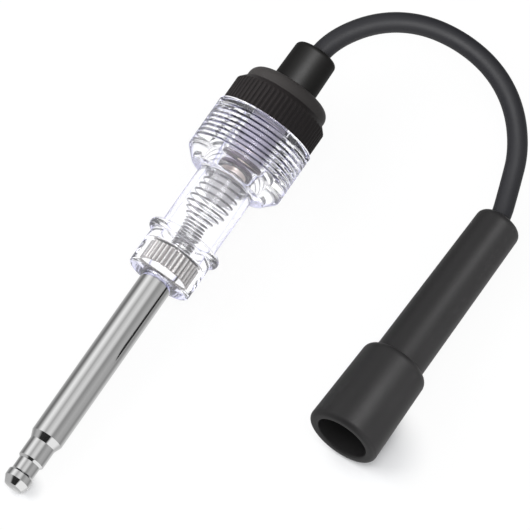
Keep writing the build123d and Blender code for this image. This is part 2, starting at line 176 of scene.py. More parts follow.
class Turning:
    """A piece turned about Z: a ring that is extruded and scaled from station to station."""

    def __init__(
        self,
        name: str,
        radius: float,
        station: float,
        segments: int = 96,
        solid: bool = True,
    ) -> None:
        """Add the first ring and leave it selected in edit mode.

        Args:
            name: the piece's name.
            radius: radius of the first ring.
            station: height of the first ring.
            segments: corners in a ring.
            solid: True for a piece that starts and ends with a flat face, False for one with a
                hole right through, whose outline comes back to its first ring.
        """
        start_fresh()
        fill = "NGON" if solid else "NOTHING"
        bpy.ops.mesh.primitive_circle_add(vertices=segments, radius=radius, fill_type=fill)
        self.piece = bpy.context.object
        self.piece.name = name
        self.piece.data.name = name
        self.radius = radius
        self.station = station
        bpy.ops.object.mode_set(mode="EDIT")
        bpy.ops.mesh.select_mode(type="FACE" if solid else "EDGE")
        bpy.ops.mesh.select_all(action="SELECT")
        bpy.ops.transform.translate(value=(0, 0, station))

    def to(self, radius: float, station: float) -> "Turning":
        """Extrude the open end.

        Args:
            radius: the new radius.
            station: the new station.

        Returns:
            The piece, for a further call.
        """
        rise = (0, 0, station - self.station)
        bpy.ops.mesh.extrude_region_move(TRANSFORM_OT_translate={"value": rise})
        factor = radius / self.radius
        bpy.ops.transform.resize(value=(factor, factor, 1), center_override=(0, 0, 0))
        self.radius = radius
        self.station = station
        return self

    def through(self, outline: Iterable[tuple[float, float]]) -> "Turning":
        """Extrude the open end from point to point.

        Args:
            outline: the (radius, station) points.

        Returns:
            The piece, for a further call.
        """
        for radius, station in outline:
            self.to(radius, station)
        return self

    def close(self) -> "Turning":
        """Weld the last ring to the first one and turn the faces outwards.

        Returns:
            The piece, for a further call.
        """
        bpy.ops.mesh.select_all(action="SELECT")
        bpy.ops.mesh.remove_doubles(threshold=CLOSE / 10)
        bpy.ops.mesh.normals_make_consistent(inside=False)
        return self

    def select(self, test: Callable[[float, float, float], bool], mode: str = "EDGE") -> None:
        """Select what lies where a test says.

        Args:
            test: takes the radius, the station and the angle in degrees of a place.
            mode: EDGE selects edges with both ends inside, FACE selects faces by their middles.
        """
        bpy.ops.mesh.select_mode(type=mode)
        bpy.ops.mesh.select_all(action="DESELECT")
        mesh = bmesh.from_edit_mesh(self.piece.data)

        def inside(point: Vector) -> bool:
            """Put a place to the test."""
            angle = degrees(atan2(point.y, point.x)) % 360
            return test(Vector((point.x, point.y)).length, point.z, angle)

        if mode == "FACE":
            for face in mesh.faces:
                if inside(face.calc_center_median()):
                    face.select_set(True)
        else:
            for edge in mesh.edges:
                if all(inside(corner.co) for corner in edge.verts):
                    edge.select_set(True)
        bmesh.update_edit_mesh(self.piece.data)

    def soften(self, radius: float, station: float, size: float, segments: int = 3) -> "Turning":
        """Round a ring of edges with a bevel.

        Args:
            radius: radius of the ring.
            station: station of the ring.
            size: width of the bevel.
            segments: steps of the bevel.

        Returns:
            The piece, for a further call.
        """
        self.select(lambda r, z, _: abs(r - radius) < CLOSE and abs(z - station) < CLOSE)
        bpy.ops.mesh.bevel(offset=size, offset_type="OFFSET", segments=segments, affect="EDGES")
        return self

    def divide(self, low: float, high: float, radius: float, cuts: int) -> "Turning":
        """Cut a plain wall into more rings.

        Args:
            low: station of the wall's lower end.
            high: station of its upper end.
            radius: radius of the wall.
            cuts: rings that are added.

        Returns:
            The piece, for a further call.
        """

        def upright(edge: bmesh.types.BMEdge) -> bool:
            """Tell whether an edge runs from end to end of the wall.

            Args:
                edge: the edge.

            Returns:
                True if it does.
            """
            ends = sorted(corner.co.z for corner in edge.verts)
            at_wall = all(abs(Vector(corner.co[:2]).length - radius) < CLOSE for corner in edge.verts)
            return at_wall and abs(ends[0] - low) < CLOSE and abs(ends[1] - high) < CLOSE

        bpy.ops.mesh.select_mode(type="EDGE")
        bpy.ops.mesh.select_all(action="DESELECT")
        mesh = bmesh.from_edit_mesh(self.piece.data)
        for edge in mesh.edges:
            edge.select_set(upright(edge))
        bmesh.update_edit_mesh(self.piece.data)
        bpy.ops.mesh.subdivide(number_cuts=cuts)
        return self

    def reshape(self, rule: Rule) -> "Turning":
        """Move every corner in or out.

        Args:
            rule: returns a corner's new radius.

        Returns:
            The piece, for a further call.
        """
        bpy.ops.object.mode_set(mode="OBJECT")
        for vertex in self.piece.data.vertices:
            point = vertex.co
            radius = sqrt(point.x**2 + point.y**2)
            if radius > CLOSE:
                factor = rule(radius, point.z, atan2(point.y, point.x) / (2 * pi)) / radius
                vertex.co = (point.x * factor, point.y * factor, point.z)
        bpy.ops.object.mode_set(mode="EDIT")
        return self

    def marked(self, rule: Rule) -> "Turning":
        """Mark every corner for its material.

        Args:
            rule: returns a corner's mark, from 0 to 1.

        Returns:
            The piece, for a further call.
        """
        bpy.ops.object.mode_set(mode="OBJECT")
        marks = self.piece.data.attributes.new(MARK, "FLOAT", "POINT")
        for vertex, mark in zip(self.piece.data.vertices, marks.data):
            point = vertex.co
            mark.value = rule(sqrt(point.x**2 + point.y**2), point.z, atan2(point.y, point.x) / (2 * pi))
        bpy.ops.object.mode_set(mode="EDIT")
        return self

    def done(self, spindle: Spindle, smooth: float = 35.0) -> bpy.types.Object:
        """Leave edit mode, shade the piece and set it on its axis.

        Args:
            spindle: the axis that the piece is turned about.
            smooth: edges flatter than this many degrees are shaded smooth.

        Returns:
            The finished object, at the origin, with its place in its mesh.
        """
        bpy.ops.mesh.select_all(action="SELECT")
        bpy.ops.mesh.normals_make_consistent(inside=False)
        bpy.ops.object.mode_set(mode="OBJECT")
        bpy.ops.object.shade_smooth_by_angle(angle=radians(smooth))
        self.piece.data.transform(spindle.matrix)
        self.piece.data.update()
        return self.piece


def arc(
    middle: tuple[float, float],
    size: float,
    start: float,
    end: float,
    steps: int,
) -> list[tuple[float, float]]:
    """Draw an arc of an outline.

    Args:
        middle: radius and station of its centre.
        size: its own radius.
        start: the angle that it starts at, in degrees.
        end: the angle that it ends at, in degrees.
        steps: pieces that it is made of.

    Returns:
        Its (radius, station) points.
    """
    angles = [radians(start + (end - start) * step / steps) for step in range(steps + 1)]
    return [(middle[0] + size * cos(angle), middle[1] + size * sin(angle)) for angle in angles]


def place(
    piece: bpy.types.Object,
    body: Body,
    slot: str,
    material: bpy.types.Material,
    *nodes: str,
) -> bpy.types.Object:
    """slot: its material slot in the record, which is not used.
        material: its finish.
        *nodes: names of the nodes that it stands for.

    Returns:
        The piece.
    """
    piece.data.materials.clear()
    piece.data.materials.append(material)
    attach(piece, body.value)
    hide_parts(*nodes)
    log.info("%s: %d faces, on %s", piece.name, len(getattr(piece.data, "polygons", [])), body.value)
    return piece


class Nodes:
    """The node tree of a material or a world, with short calls that add and join nodes."""

    def __init__(self, tree: bpy.types.NodeTree) -> None:
        """Empty the tree."""
        self.tree = tree
        self.tree.nodes.clear()

    def add(self, kind: str, **values: object) -> bpy.types.Node:
        """Add a node.

        Args:
            kind: Blender's name of the kind of node.
            **values: the node's properties.

        Returns:
            The node.
        """
        node = self.tree.nodes.new(kind)
        for name, value in values.items():
            setattr(node, name, value)
        return node

    def join(self, start: bpy.types.NodeSocket, end: bpy.types.NodeSocket) -> None:
        """Link an output to an input."""
        self.tree.links.new(start, end)

    def feed(self, values: Iterable[object], sockets: Iterable[bpy.types.NodeSocket]) -> None:
        """Feed inputs with one value each.

        Args:
            values: a constant, or the output that it comes from, for each input.
            sockets: the inputs.
        """
        for value, socket in zip(values, sockets):
            if isinstance(value, bpy.types.NodeSocket):
                self.join(value, socket)
            else:
                socket.default_value = value

    def maths(self, operation: str, *values: object) -> bpy.types.NodeSocket:
        """Add a Math node.

        Args:
            operation: Blender's name of what it does.
            *values: its inputs, each a number or a socket.

        Returns:
            The result's socket.
        """
        node = self.add("ShaderNodeMath", operation=operation)
        self.feed(values, node.inputs)
        return node.outputs[0]

    def ramp(
        self,
        factor: bpy.types.NodeSocket,
        stops: Sequence[tuple[float, object]],
    ) -> bpy.types.NodeSocket:
        """Add a colour ramp.

        Args:
            factor: the place on the ramp, from 0 to 1.
            stops: places with a grey or a colour each.

        Returns:
            The colour's socket.
        """
        node = self.add("ShaderNodeValToRGB")
        elements = node.color_ramp.elements
        while len(elements) < len(stops):
            elements.new(0.5)
        for element, (position, shade) in zip(elements, stops):
            element.position = position
            element.color = (*shade, 1) if isinstance(shade, tuple) else (shade, shade, shade, 1)
        self.join(factor, node.inputs["Fac"])
        return node.outputs["Color"]

    def blend(self, factor: object, first: object, second: object) -> bpy.types.NodeSocket:
        """Mix two colours.

        Args:
            factor: the share of the second one, a number or a socket.
            first: a colour or a socket.
            second: a colour or a socket.

        Returns:
            The mixed colour's socket.
        """
        node = self.add("ShaderNodeMix", data_type="RGBA")
        self.feed((factor, first, second), (node.inputs[0], node.inputs[6], node.inputs[7]))
        return node.outputs[2]

    def between(self, value: bpy.types.NodeSocket, low: float, high: float) -> bpy.types.NodeSocket:
        """Rise smoothly as a value goes from one limit to the other.

        Args:
            value: the value's socket.
            low: where the rise starts, which may be the higher limit.
            high: where it ends.

        Returns:
            A socket that is 0 before the first limit and 1 past the second.
        """
        node = self.add("ShaderNodeMapRange", interpolation_type="SMOOTHSTEP")
        self.join(value, node.inputs["Value"])
        node.inputs["From Min"].default_value = low
        node.inputs["From Max"].default_value = high
        return node.outputs["Result"]


def new_material(name: str) -> tuple[bpy.types.Material, Nodes, bpy.types.Node]:
    """Make a material with a Principled shader on its output.

    Args:
        name: the material's name.

    Returns:
        The material, its nodes, and the Principled shader.
    """
    material = bpy.data.materials.new(name)
    material.use_nodes = True
    nodes = Nodes(material.node_tree)
    shader = nodes.add("ShaderNodeBsdfPrincipled")
    output = nodes.add("ShaderNodeOutputMaterial")
    nodes.join(shader.outputs["BSDF"], output.inputs["Surface"])
    return material, nodes, shader


@cache
def grain_group() -> bpy.types.NodeTree:
    """Make the group that every opaque finish uses for its fine unevenness and its marks.

    Returns:
        A group that takes two colours, a roughness range, a scale, and the colour and the share
        of a mark, and puts out a colour, a roughness and a height.
    """
    tree = bpy.data.node_groups.new("fine_grain", "ShaderNodeTree")
    nodes = Nodes(tree)
    for name, kind, value in (
        ("Light", "NodeSocketColor", (0.5, 0.5, 0.5, 1)),
        ("Dark", "NodeSocketColor", (0.4, 0.4, 0.4, 1)),
        ("Smooth", "NodeSocketFloat", 0.2),
        ("Rough", "NodeSocketFloat", 0.3),
        ("Scale", "NodeSocketFloat", 400.0),
        ("Mark", "NodeSocketColor", (0.1, 0.1, 0.1, 1)),
        ("Marked", "NodeSocketFloat", 0.0),
    ):
        socket = tree.interface.new_socket(name, in_out="INPUT", socket_type=kind)
        socket.default_value = value
    for name, kind in (
        ("Color", "NodeSocketColor"),
        ("Roughness", "NodeSocketFloat"),
        ("Height", "NodeSocketFloat"),
    ):
        tree.interface.new_socket(name, in_out="OUTPUT", socket_type=kind)
    inputs = nodes.add("NodeGroupInput")
    outputs = nodes.add("NodeGroupOutput")
    place_of = nodes.add("ShaderNodeTexCoord")
    fine = nodes.add("ShaderNodeTexNoise")
    fine.inputs["Detail"].default_value = 6
    fine.inputs["Roughness"].default_value = 0.6
    nodes.join(place_of.outputs["Object"], fine.inputs["Vector"])
    nodes.join(inputs.outputs["Scale"], fine.inputs["Scale"])
    broad = nodes.add("ShaderNodeTexNoise")
    broad.inputs["Detail"].default_value = 2
    nodes.join(place_of.outputs["Object"], broad.inputs["Vector"])
    nodes.join(nodes.maths("MULTIPLY", inputs.outputs["Scale"], 0.12), broad.inputs["Scale"])
    share = nodes.maths("MULTIPLY", fine.outputs["Fac"], 0.45)
    both = nodes.maths("MULTIPLY_ADD", broad.outputs["Fac"], 0.55, share)
    colour = nodes.blend(both, inputs.outputs["Dark"], inputs.outputs["Light"])
    colour = nodes.blend(inputs.outputs["Marked"], colour, inputs.outputs["Mark"])
    nodes.join(colour, outputs.inputs["Color"])
    rough = nodes.add("ShaderNodeMapRange")
    nodes.join(both, rough.inputs["Value"])
    rough.inputs["From Min"].default_value = 0.3
    rough.inputs["From Max"].default_value = 0.7
    nodes.join(inputs.outputs["Smooth"], rough.inputs["To Min"])
    nodes.join(inputs.outputs["Rough"], rough.inputs["To Max"])
    nodes.join(rough.outputs["Result"], outputs.inputs["Roughness"])
    nodes.join(fine.outputs["Fac"], outputs.inputs["Height"])
    return tree


@dataclass(frozen=True)
class Opaque:
    """An opaque finish with a fine grain.

    Args:
        name: the material's name.
        light: colour of the lighter places.
        dark: colour of the darker places.
        smooth: roughness of the smoother places.
        rough: roughness of the rougher places.
        scale: size of the grain, in grains to the metre.
        bump: height of the grain, in metres.
        metallic: 1 for a metal, else 0.
        specular: strength of the surface reflection.
        mark: colour of the places that the mesh marks, if it marks any; these marks are painted shade and
            painted reflections.
    """

    name: str
    light: Colour
    dark: Colour
    smooth: float
    rough: float
    scale: float
    bump: float = 0.0
    metallic: float = 0.0
    specular: float = 0.5
    mark: Colour | None = None

    @cache
    def material(self) -> bpy.types.Material:
        """Make the material.

        Returns:
            The material, which is the same one at each call.
        """
        material, nodes, shader = new_material(self.name)
        grain = nodes.add("ShaderNodeGroup", node_tree=grain_group())
        grain.inputs["Light"].default_value = (*self.light, 1)
        grain.inputs["Dark"].default_value = (*self.dark, 1)
        grain.inputs["Smooth"].default_value = self.smooth
        grain.inputs["Rough"].default_value = self.rough
        grain.inputs["Scale"].default_value = self.scale
        if self.mark:
            grain.inputs["Mark"].default_value = (*self.mark, 1)
            marked = nodes.add("ShaderNodeAttribute", attribute_name=MARK)
            nodes.join(marked.outputs["Fac"], grain.inputs["Marked"])
        nodes.join(grain.outputs["Color"], shader.inputs["Base Color"])
        nodes.join(grain.outputs["Roughness"], shader.inputs["Roughness"])
        shader.inputs["Metallic"].default_value = self.metallic
        shader.inputs["Specular IOR Level"].default_value = self.specular
        if self.bump:
            bump = nodes.add("ShaderNodeBump")
            bump.inputs["Distance"].default_value = self.bump
            nodes.join(grain.outputs["Height"], bump.inputs["Height"])
            nodes.join(bump.outputs["Normal"], shader.inputs["Normal"])
        return material


@dataclass(frozen=True)
class Clear:
    """A clear finish, tinted a little where it is seen edge on.

    Args:
        name: the material's name.
        face: colour seen square on.
        edge: colour seen edge on.
        ior: index of refraction.
        roughness: roughness of the surface.
        clearness: the share of the light that goes through, the rest being haze.
        mark: colour of the places that the mesh marks, such as the roots of a thread, where it paints
            dark lines as a painted reflection.
        turned: how far the surface turns away while the tint goes from face to edge.
        shown: past the first value the marks are gone, and before the second they show in full.
    """

    name: str
    face: Colour
    edge: Colour
    ior: float
    roughness: float
    clearness: float
    mark: Colour | None = None
    turned: tuple[float, float] = (0.4, 0.85)
    shown: tuple[float, float] = (0.55, 0.3)

    @cache
    def material(self) -> bpy.types.Material:
        """Make the material.

        Returns:
            The material, which is the same one at each call.
        """
        material, nodes, shader = new_material(self.name)
        facing = nodes.add("ShaderNodeLayerWeight")
        facing.inputs["Blend"].default_value = 0.35
        edge = nodes.between(facing.outputs["Facing"], *self.turned)
        tint = nodes.blend(edge, (*self.face, 1), (*self.edge, 1))
        if self.mark:
            marked = nodes.add("ShaderNodeAttribute", attribute_name=MARK)
            near = nodes.between(facing.outputs["Facing"], *self.shown)
            share = nodes.maths("MULTIPLY", marked.outputs["Fac"], near)
            tint = nodes.blend(share, tint, (*self.mark, 1))
        nodes.join(tint, shader.inputs["Base Color"])
        shader.inputs["Transmission Weight"].default_value = self.clearness
        shader.inputs["IOR"].default_value = self.ior
        shader.inputs["Roughness"].default_value = self.roughness
        return material


CHROME = Opaque(
    "polished_chrome",
    light=(0.83, 0.83, 0.83),
    dark=(0.79, 0.79, 0.79),
    smooth=0.05,
    rough=0.09,
    scale=300,
    metallic=1,
    # The mark paints the stud's domed top near black: a painted dark reflection
    mark=(0.03, 0.03, 0.04),
)
KNURL = Opaque(
    "plated_knurl",
    light=(0.58, 0.57, 0.56),
    dark=(0.44, 0.43, 0.42),
    smooth=0.2,
    rough=0.3,
    scale=500,
    bump=0.00001,
    metallic=1,
    # The mark is painted shade, on the insert's faces and in its flutes by their depth
    mark=(0.17, 0.155, 0.15),
)
WIRE = Opaque(
    "spring_wire",
    light=(0.7, 0.7, 0.72),
    dark=(0.6, 0.6, 0.62),
    smooth=0.14,
    rough=0.24,
    scale=500,
    metallic=1,
    # The mark is painted shade on the upper side of the spring's turns
    mark=(0.1, 0.095, 0.11),
)
BRASS = Opaque(
    "lamp_brass",
    light=(0.8, 0.71, 0.65),
    dark=(0.68, 0.59, 0.54),
    smooth=0.3,
    rough=0.42,
    scale=500,
    metallic=1,
    # The mark is painted shade on the lamp's flange and the base above it
    mark=(0.06, 0.04, 0.07),
)
NICKEL = Opaque(
    "dull_nickel",
    light=(0.66, 0.58, 0.57),
    dark=(0.5, 0.42, 0.41),
    smooth=0.35,
    rough=0.5,
    scale=600,
    metallic=1,
)
ZINC = Opaque(
    "zinc_plate",
    light=(0.62, 0.62, 0.6),
    dark=(0.5, 0.5, 0.48),
    smooth=0.3,
    rough=0.45,
    scale=500,
    metallic=1,
)
BEAD = Opaque(
    "lamp_bead",
    light=(0.03, 0.03, 0.03),
    dark=(0.02, 0.02, 0.02),
    smooth=0.1,
    rough=0.2,
    scale=400,
)
SOLDER = Opaque(
    "tin_solder",
    light=(0.7, 0.7, 0.71),
    dark=(0.6, 0.6, 0.61),
    smooth=0.3,
    rough=0.4,
    scale=500,
    metallic=1,
)
MOULDING = Opaque(
    "black_moulding",
    light=(0.034, 0.031, 0.03),
    dark=(0.024, 0.022, 0.0215),
    smooth=0.5,
    rough=0.62,
    scale=900,
    bump=0.00002,
    specular=0.2,
)
# A darker copy of the black moulding for the grip: painted shade on the fluted grip
GRIP = Opaque(
    "black_grip",
    light=(0.017, 0.0145, 0.0145),
    dark=(0.01, 0.0085, 0.0085),
    smooth=0.5,
    rough=0.62,
    scale=900,
    bump=0.00002,
    specular=0.2,
)
# A lighter violet copy of the black moulding for the cap's lower face and inner walls: painted light, as
# they show through the clear collar
UNDERSIDE = Opaque(
    "cap_underside",
    light=(0.07, 0.065, 0.11),
    dark=(0.05, 0.045, 0.08),
    smooth=0.5,
    rough=0.62,
    scale=900,
    bump=0.00002,
    specular=0.2,
)
# The holder is black plastic, coloured pale lilac: painted light, as it shows through the clear collar
HOLDER = Opaque(
    "dark_holder",
    light=(0.5, 0.47, 0.58),
    dark=(0.36, 0.33, 0.44),
    smooth=0.25,
    rough=0.35,
    scale=900,
    bump=0.00002,
)
SEAL = Opaque(
    "seal_rubber",
    light=(0.03, 0.03, 0.03),
    dark=(0.02, 0.02, 0.02),
    smooth=0.5,
    rough=0.6,
    scale=700,
    bump=0.00002,
)
RELIEF = Opaque(
    "relief_rubber",
    light=(0.0025, 0.0023, 0.0022),
    dark=(0.0015, 0.0014, 0.0013),
    smooth=0.5,
    rough=0.58,
    scale=800,
    bump=0.00001,
    specular=0.17,
)
RUBBER = Opaque(
    "boot_rubber",
    light=(0.0135, 0.0129, 0.0132),
    dark=(0.01, 0.0096, 0.0098),
    smooth=0.42,
    rough=0.5,
    scale=800,
    bump=0.00002,
    specular=0.3,
)
JACKET = Opaque(
    "lead_jacket",
    light=(0.013, 0.013, 0.015),
    dark=(0.009, 0.009, 0.011),
    smooth=0.46,
    rough=0.56,
    scale=900,
    bump=0.00002,
    specular=0.35,
)
CLEAR = Clear(
    "clear_plastic",
    face=(0.985, 0.985, 1.0),
    edge=(0.34, 0.34, 0.88),
    ior=1.49,
    roughness=0.02,
    clearness=0.95,
    # The mark paints dark lines beside the thread's roots: a painted reflection
    mark=(0.02, 0.02, 0.05),
)
GLASS = Clear(
    "bulb_glass",
    face=(0.93, 0.92, 0.95),
    edge=(0.8, 0.8, 0.85),
    ior=1.5,
    roughness=0.16,
    clearness=0.45,
)


@dataclass
class Probe:
    """The chromed rod, its terminal tip and the knurled insert in the hub."""

    face_r: float = 2.25
    head_r: float = 3.175
    chamfer: float = 1.7
    head_len: float = 3.85
    head_back: float = 0.5
    neck_r: float = 2.75
    neck_len: float = 3.05
    land_r: float = 3.25
    land_edge: float = 0.55
    land_len: float = 5.25
    taper_len: float = 1.85
    rod_r: float = 4.0
    stud_r: float = 2.3
    stud_dome: float = 0.8
    flutes: int = 26
    flute_depth: float = 0.32
    flute_steps: int = 8
    # Painted shade: the band at the lower edge where it fades in, and its strength on the faces
    shade_band: float = 0.3
    face_shade: float = 0.8

    def build(self, frame: dict, tool: Spindle) -> list[bpy.types.Object]:
        """Model the rod and the insert.

        Args:
            frame: the loaded frame.
            tool: the tool's axis.

        Returns:
            The dressed pieces.
        """
        rod = tool.span(frame["nodes"]["probe_rod"])
        insert = tool.span(frame["nodes"]["knurled_insert"])
        neck = self.head_len
        land = neck + self.neck_len
        taper = land + self.land_len
        shaft = taper + self.taper_len
        dome = rod.high - self.stud_dome
        turned = Turning("probe_rod_visual", self.face_r, 0, 128)
        turned.through(
            [
                (self.head_r, self.chamfer),
                (self.head_r, neck - self.head_back),
                (self.neck_r, neck),
                (self.neck_r, land),
                (self.land_r, land + self.land_edge),
                (self.land_r, taper),
                (self.rod_r, shaft),
                (self.rod_r, insert.low),
                (self.stud_r, insert.low),
                (self.stud_r, dome),
                (self.stud_r - self.stud_dome, rod.high),
            ]
        )
        for radius, station, size in (
            (self.face_r, 0, 0.12),
            (self.head_r, self.chamfer, 0.1),
            (self.head_r, neck - self.head_back, 0.08),
            (self.neck_r, neck, 0.06),
            (self.neck_r, land, 0.06),
            (self.land_r, land + self.land_edge, 0.08),
            (self.land_r, taper, 0.08),
            (self.rod_r, shaft, 0.1),
            (self.stud_r, dome, 0.15),
        ):
            turned.soften(radius, station, size)
        # Painted dark reflection: the stud's domed top is marked, and the chrome paints it near black
        turned.marked(lambda _, station, turn: float(station > dome - CLOSE))
        rod_piece = turned.done(tool)

        segments = self.flutes * self.flute_steps
        ring = Turning("knurled_insert_visual", insert.reach, insert.low, segments, solid=False)
        ring.to(insert.reach, insert.low + self.shade_band)
        ring.through([(insert.reach, insert.high), (self.stud_r, insert.high), (self.stud_r, insert.low)])
        ring.to(insert.reach, insert.low).close()

        def flute(radius: float, _: float, turn: float) -> float:
            """Press the round flutes into the insert's rim.

            Args:
                radius: the corner's radius.
                turn: its angle, in turns.

            Returns:
                The corner's new radius.
            """
            if radius < insert.reach - CLOSE:
                return radius
            return radius - self.flute_depth * (0.5 + 0.5 * cos(2 * pi * turn * self.flutes))

        def shade_flutes_and_faces(radius: float, station: float, turn: float) -> float:
            """Paint shade on the lower face, the upper face and the bore, and into the flutes by their
            depth.

            Args:
                radius: the corner's radius.
                station: its station.
                turn: its angle, in turns.

            Returns:
                The corner's mark.
            """
            if radius < insert.reach - CLOSE or station < insert.low + CLOSE:
                return self.face_shade
            return (insert.reach - flute(insert.reach, 0, turn)) / self.flute_depth

        ring.marked(shade_flutes_and_faces)
        ring.reshape(flute)
        insert_piece = ring.done(tool, 50)
        return [
            place(rod_piece, Body.HOUSING, "chromed_rod", CHROME.material(), "probe_rod"),
            place(insert_piece, Body.HOUSING, "plated_insert", KNURL.material(), "knurled_insert"),
        ]


@dataclass
class Housing:
    """The clear moulding: hub, flange ring, barrel, shelf, threaded collar, rim and neck."""

    hub_len: float = 9.65
    hub_r: float = 8.1
    hub_edge: float = 0.8
    hub_floor: float = 7.6
    flange_r: float = 9.35
    flange_len: float = 2.1
    flange_round: float = 0.9
    barrel_r: float = 7.2
    barrel_len: float = 16.5
    shelf_r: float = 9.75
    collar_r: float = 12.5
    collar_taper: float = 2.8
    band_len: float = 1.8
    thread_len: float = 9.6
    pitch: float = 1.24
    thread_depth: float = 0.45
    groove_share: float = 0.3
    rows_a_pitch: int = 16
    line_phase: float = 0.58
    line_width: float = 0.22
    line_strength: float = 1.7
    groove_depth: float = 0.8
    groove_len: float = 1.2
    rim_lip: float = 0.35
    lugs: int = 6
    lug_angle: float = 13.75
    lug_phase: float = -14.5
    bore_r: float = 5.8
    neck_r: float = 9.6
    segments: int = 288

    def build(self, frame: dict, tool: Spindle) -> list[bpy.types.Object]:
        """Model the moulding as one closed shell, solid round the metal in its hub.

        Args:
            frame: the loaded frame.
            tool: the tool's axis.

        Returns:
            The dressed pieces.
        """
        extent = tool.span(frame["nodes"]["housing"])
        flange = extent.low + self.hub_len
        barrel = flange + self.flange_len
        shelf = barrel + self.barrel_len
        band = shelf + self.collar_taper
        thread = band + self.band_len
        groove = thread + self.thread_len
        lip = groove + self.groove_len
        top = lip + self.rim_lip
        floor_at = extent.low + self.hub_floor
        shell = Turning("housing_visual", self.hub_r, extent.low, self.segments)
        shell.through(
            [
                (self.hub_r, flange),
                (self.flange_r, flange),
                (self.flange_r, barrel),
                (self.barrel_r, barrel),
                (self.barrel_r, shelf),
                (self.shelf_r, shelf),
                (self.collar_r, band),
                (self.collar_r, thread),
                (self.collar_r, groove),
                (self.collar_r, lip),
                (self.collar_r, top),
                (self.neck_r, top),
                (self.neck_r, extent.high),
                (self.bore_r, extent.high),
                (self.bore_r, floor_at),
            ]
        )
        # The groove under the rim: its wall is pressed in, apart from the lugs
        gap = 360 / self.lugs

        def in_groove(radius: float, station: float, angle: float) -> bool:
            """Tell whether a place is on the groove's wall and not on a lug.

            Args:
                radius: the place's radius.
                station: its station.
                angle: its angle, in degrees.

            Returns:
                True if it is.
            """
            from_lug = (angle - self.lug_phase + gap / 2) % gap - gap / 2
            at_wall = groove < station < lip and radius > self.collar_r - 2 * CLOSE
            return at_wall and abs(from_lug) > self.lug_angle / 2

        shell.select(in_groove, "FACE")
        factor = (self.collar_r - self.groove_depth) / self.collar_r
        bpy.ops.mesh.extrude_region_move()
        bpy.ops.transform.resize(value=(factor, factor, 1), center_override=(0, 0, 0))

        for radius, station, size, steps in (
            (self.hub_r, extent.low, self.hub_edge, 4),
            (self.hub_r, flange, 0.25, 3),
            (self.flange_r, flange, self.flange_round, 6),
            (self.flange_r, barrel, self.flange_round, 6),
            (self.barrel_r, barrel, 0.3, 3),
            (self.barrel_r, shelf, 0.5, 4),
            (self.shelf_r, shelf, 0.3, 3),
            (self.collar_r, band, 0.35, 3),
            (self.collar_r, top, 0.12, 3),
            (self.bore_r, floor_at, 0.3, 3),
        ):
            shell.soften(radius, station, size, steps)
        rows = round(self.thread_len / self.pitch * self.rows_a_pitch)
        shell.divide(thread, groove, self.collar_r, rows)

        def phase_at(station: float, turn: float) -> float:
            """Return how far along a pitch a place is, from 0 to 1; the root is at the half."""
            return ((station - thread) / self.pitch - turn) % 1

        def helix(radius: float, station: float, turn: float) -> float:
            """Press the thread's groove into the collar, with a smooth start and end.

            Args:
                radius: the corner's radius.
                station: its station.
                turn: its angle, in turns.

            Returns:
                The corner's new radius.
            """
            if radius < self.collar_r - CLOSE or not thread - CLOSE < station < groove + CLOSE:
                return radius
            cut = max(0.0, 1 - abs(phase_at(station, turn) - 0.5) / self.groove_share)
            fade = smoothstep(thread, thread + self.pitch / 2, station)
            fade *= 1 - smoothstep(groove - self.pitch / 2, groove, station)
            return radius - self.thread_depth * fade * sin(pi / 2 * cut) ** 2

        def line(radius: float, station: float, turn: float) -> float:
            """Paint a narrow dark line beside the thread's root, where a clear thread looks dark: a
            painted reflection of the dark room.

            Args:
                radius: the corner's radius.
                station: its station.
                turn: its angle, in turns.

            Returns:
                The corner's mark.
            """
            if radius < self.collar_r - 2 * self.thread_depth or not thread < station < groove:
                return 0.0
            off = abs(phase_at(station, turn) - self.line_phase) / self.line_width
            return min(max(0.0, self.line_strength * (1 - off)), 1.0)

        shell.reshape(helix)
        shell.marked(line)
        return [place(shell.done(tool, 32), Body.HOUSING, "clear_plastic", CLEAR.material(), "housing")]


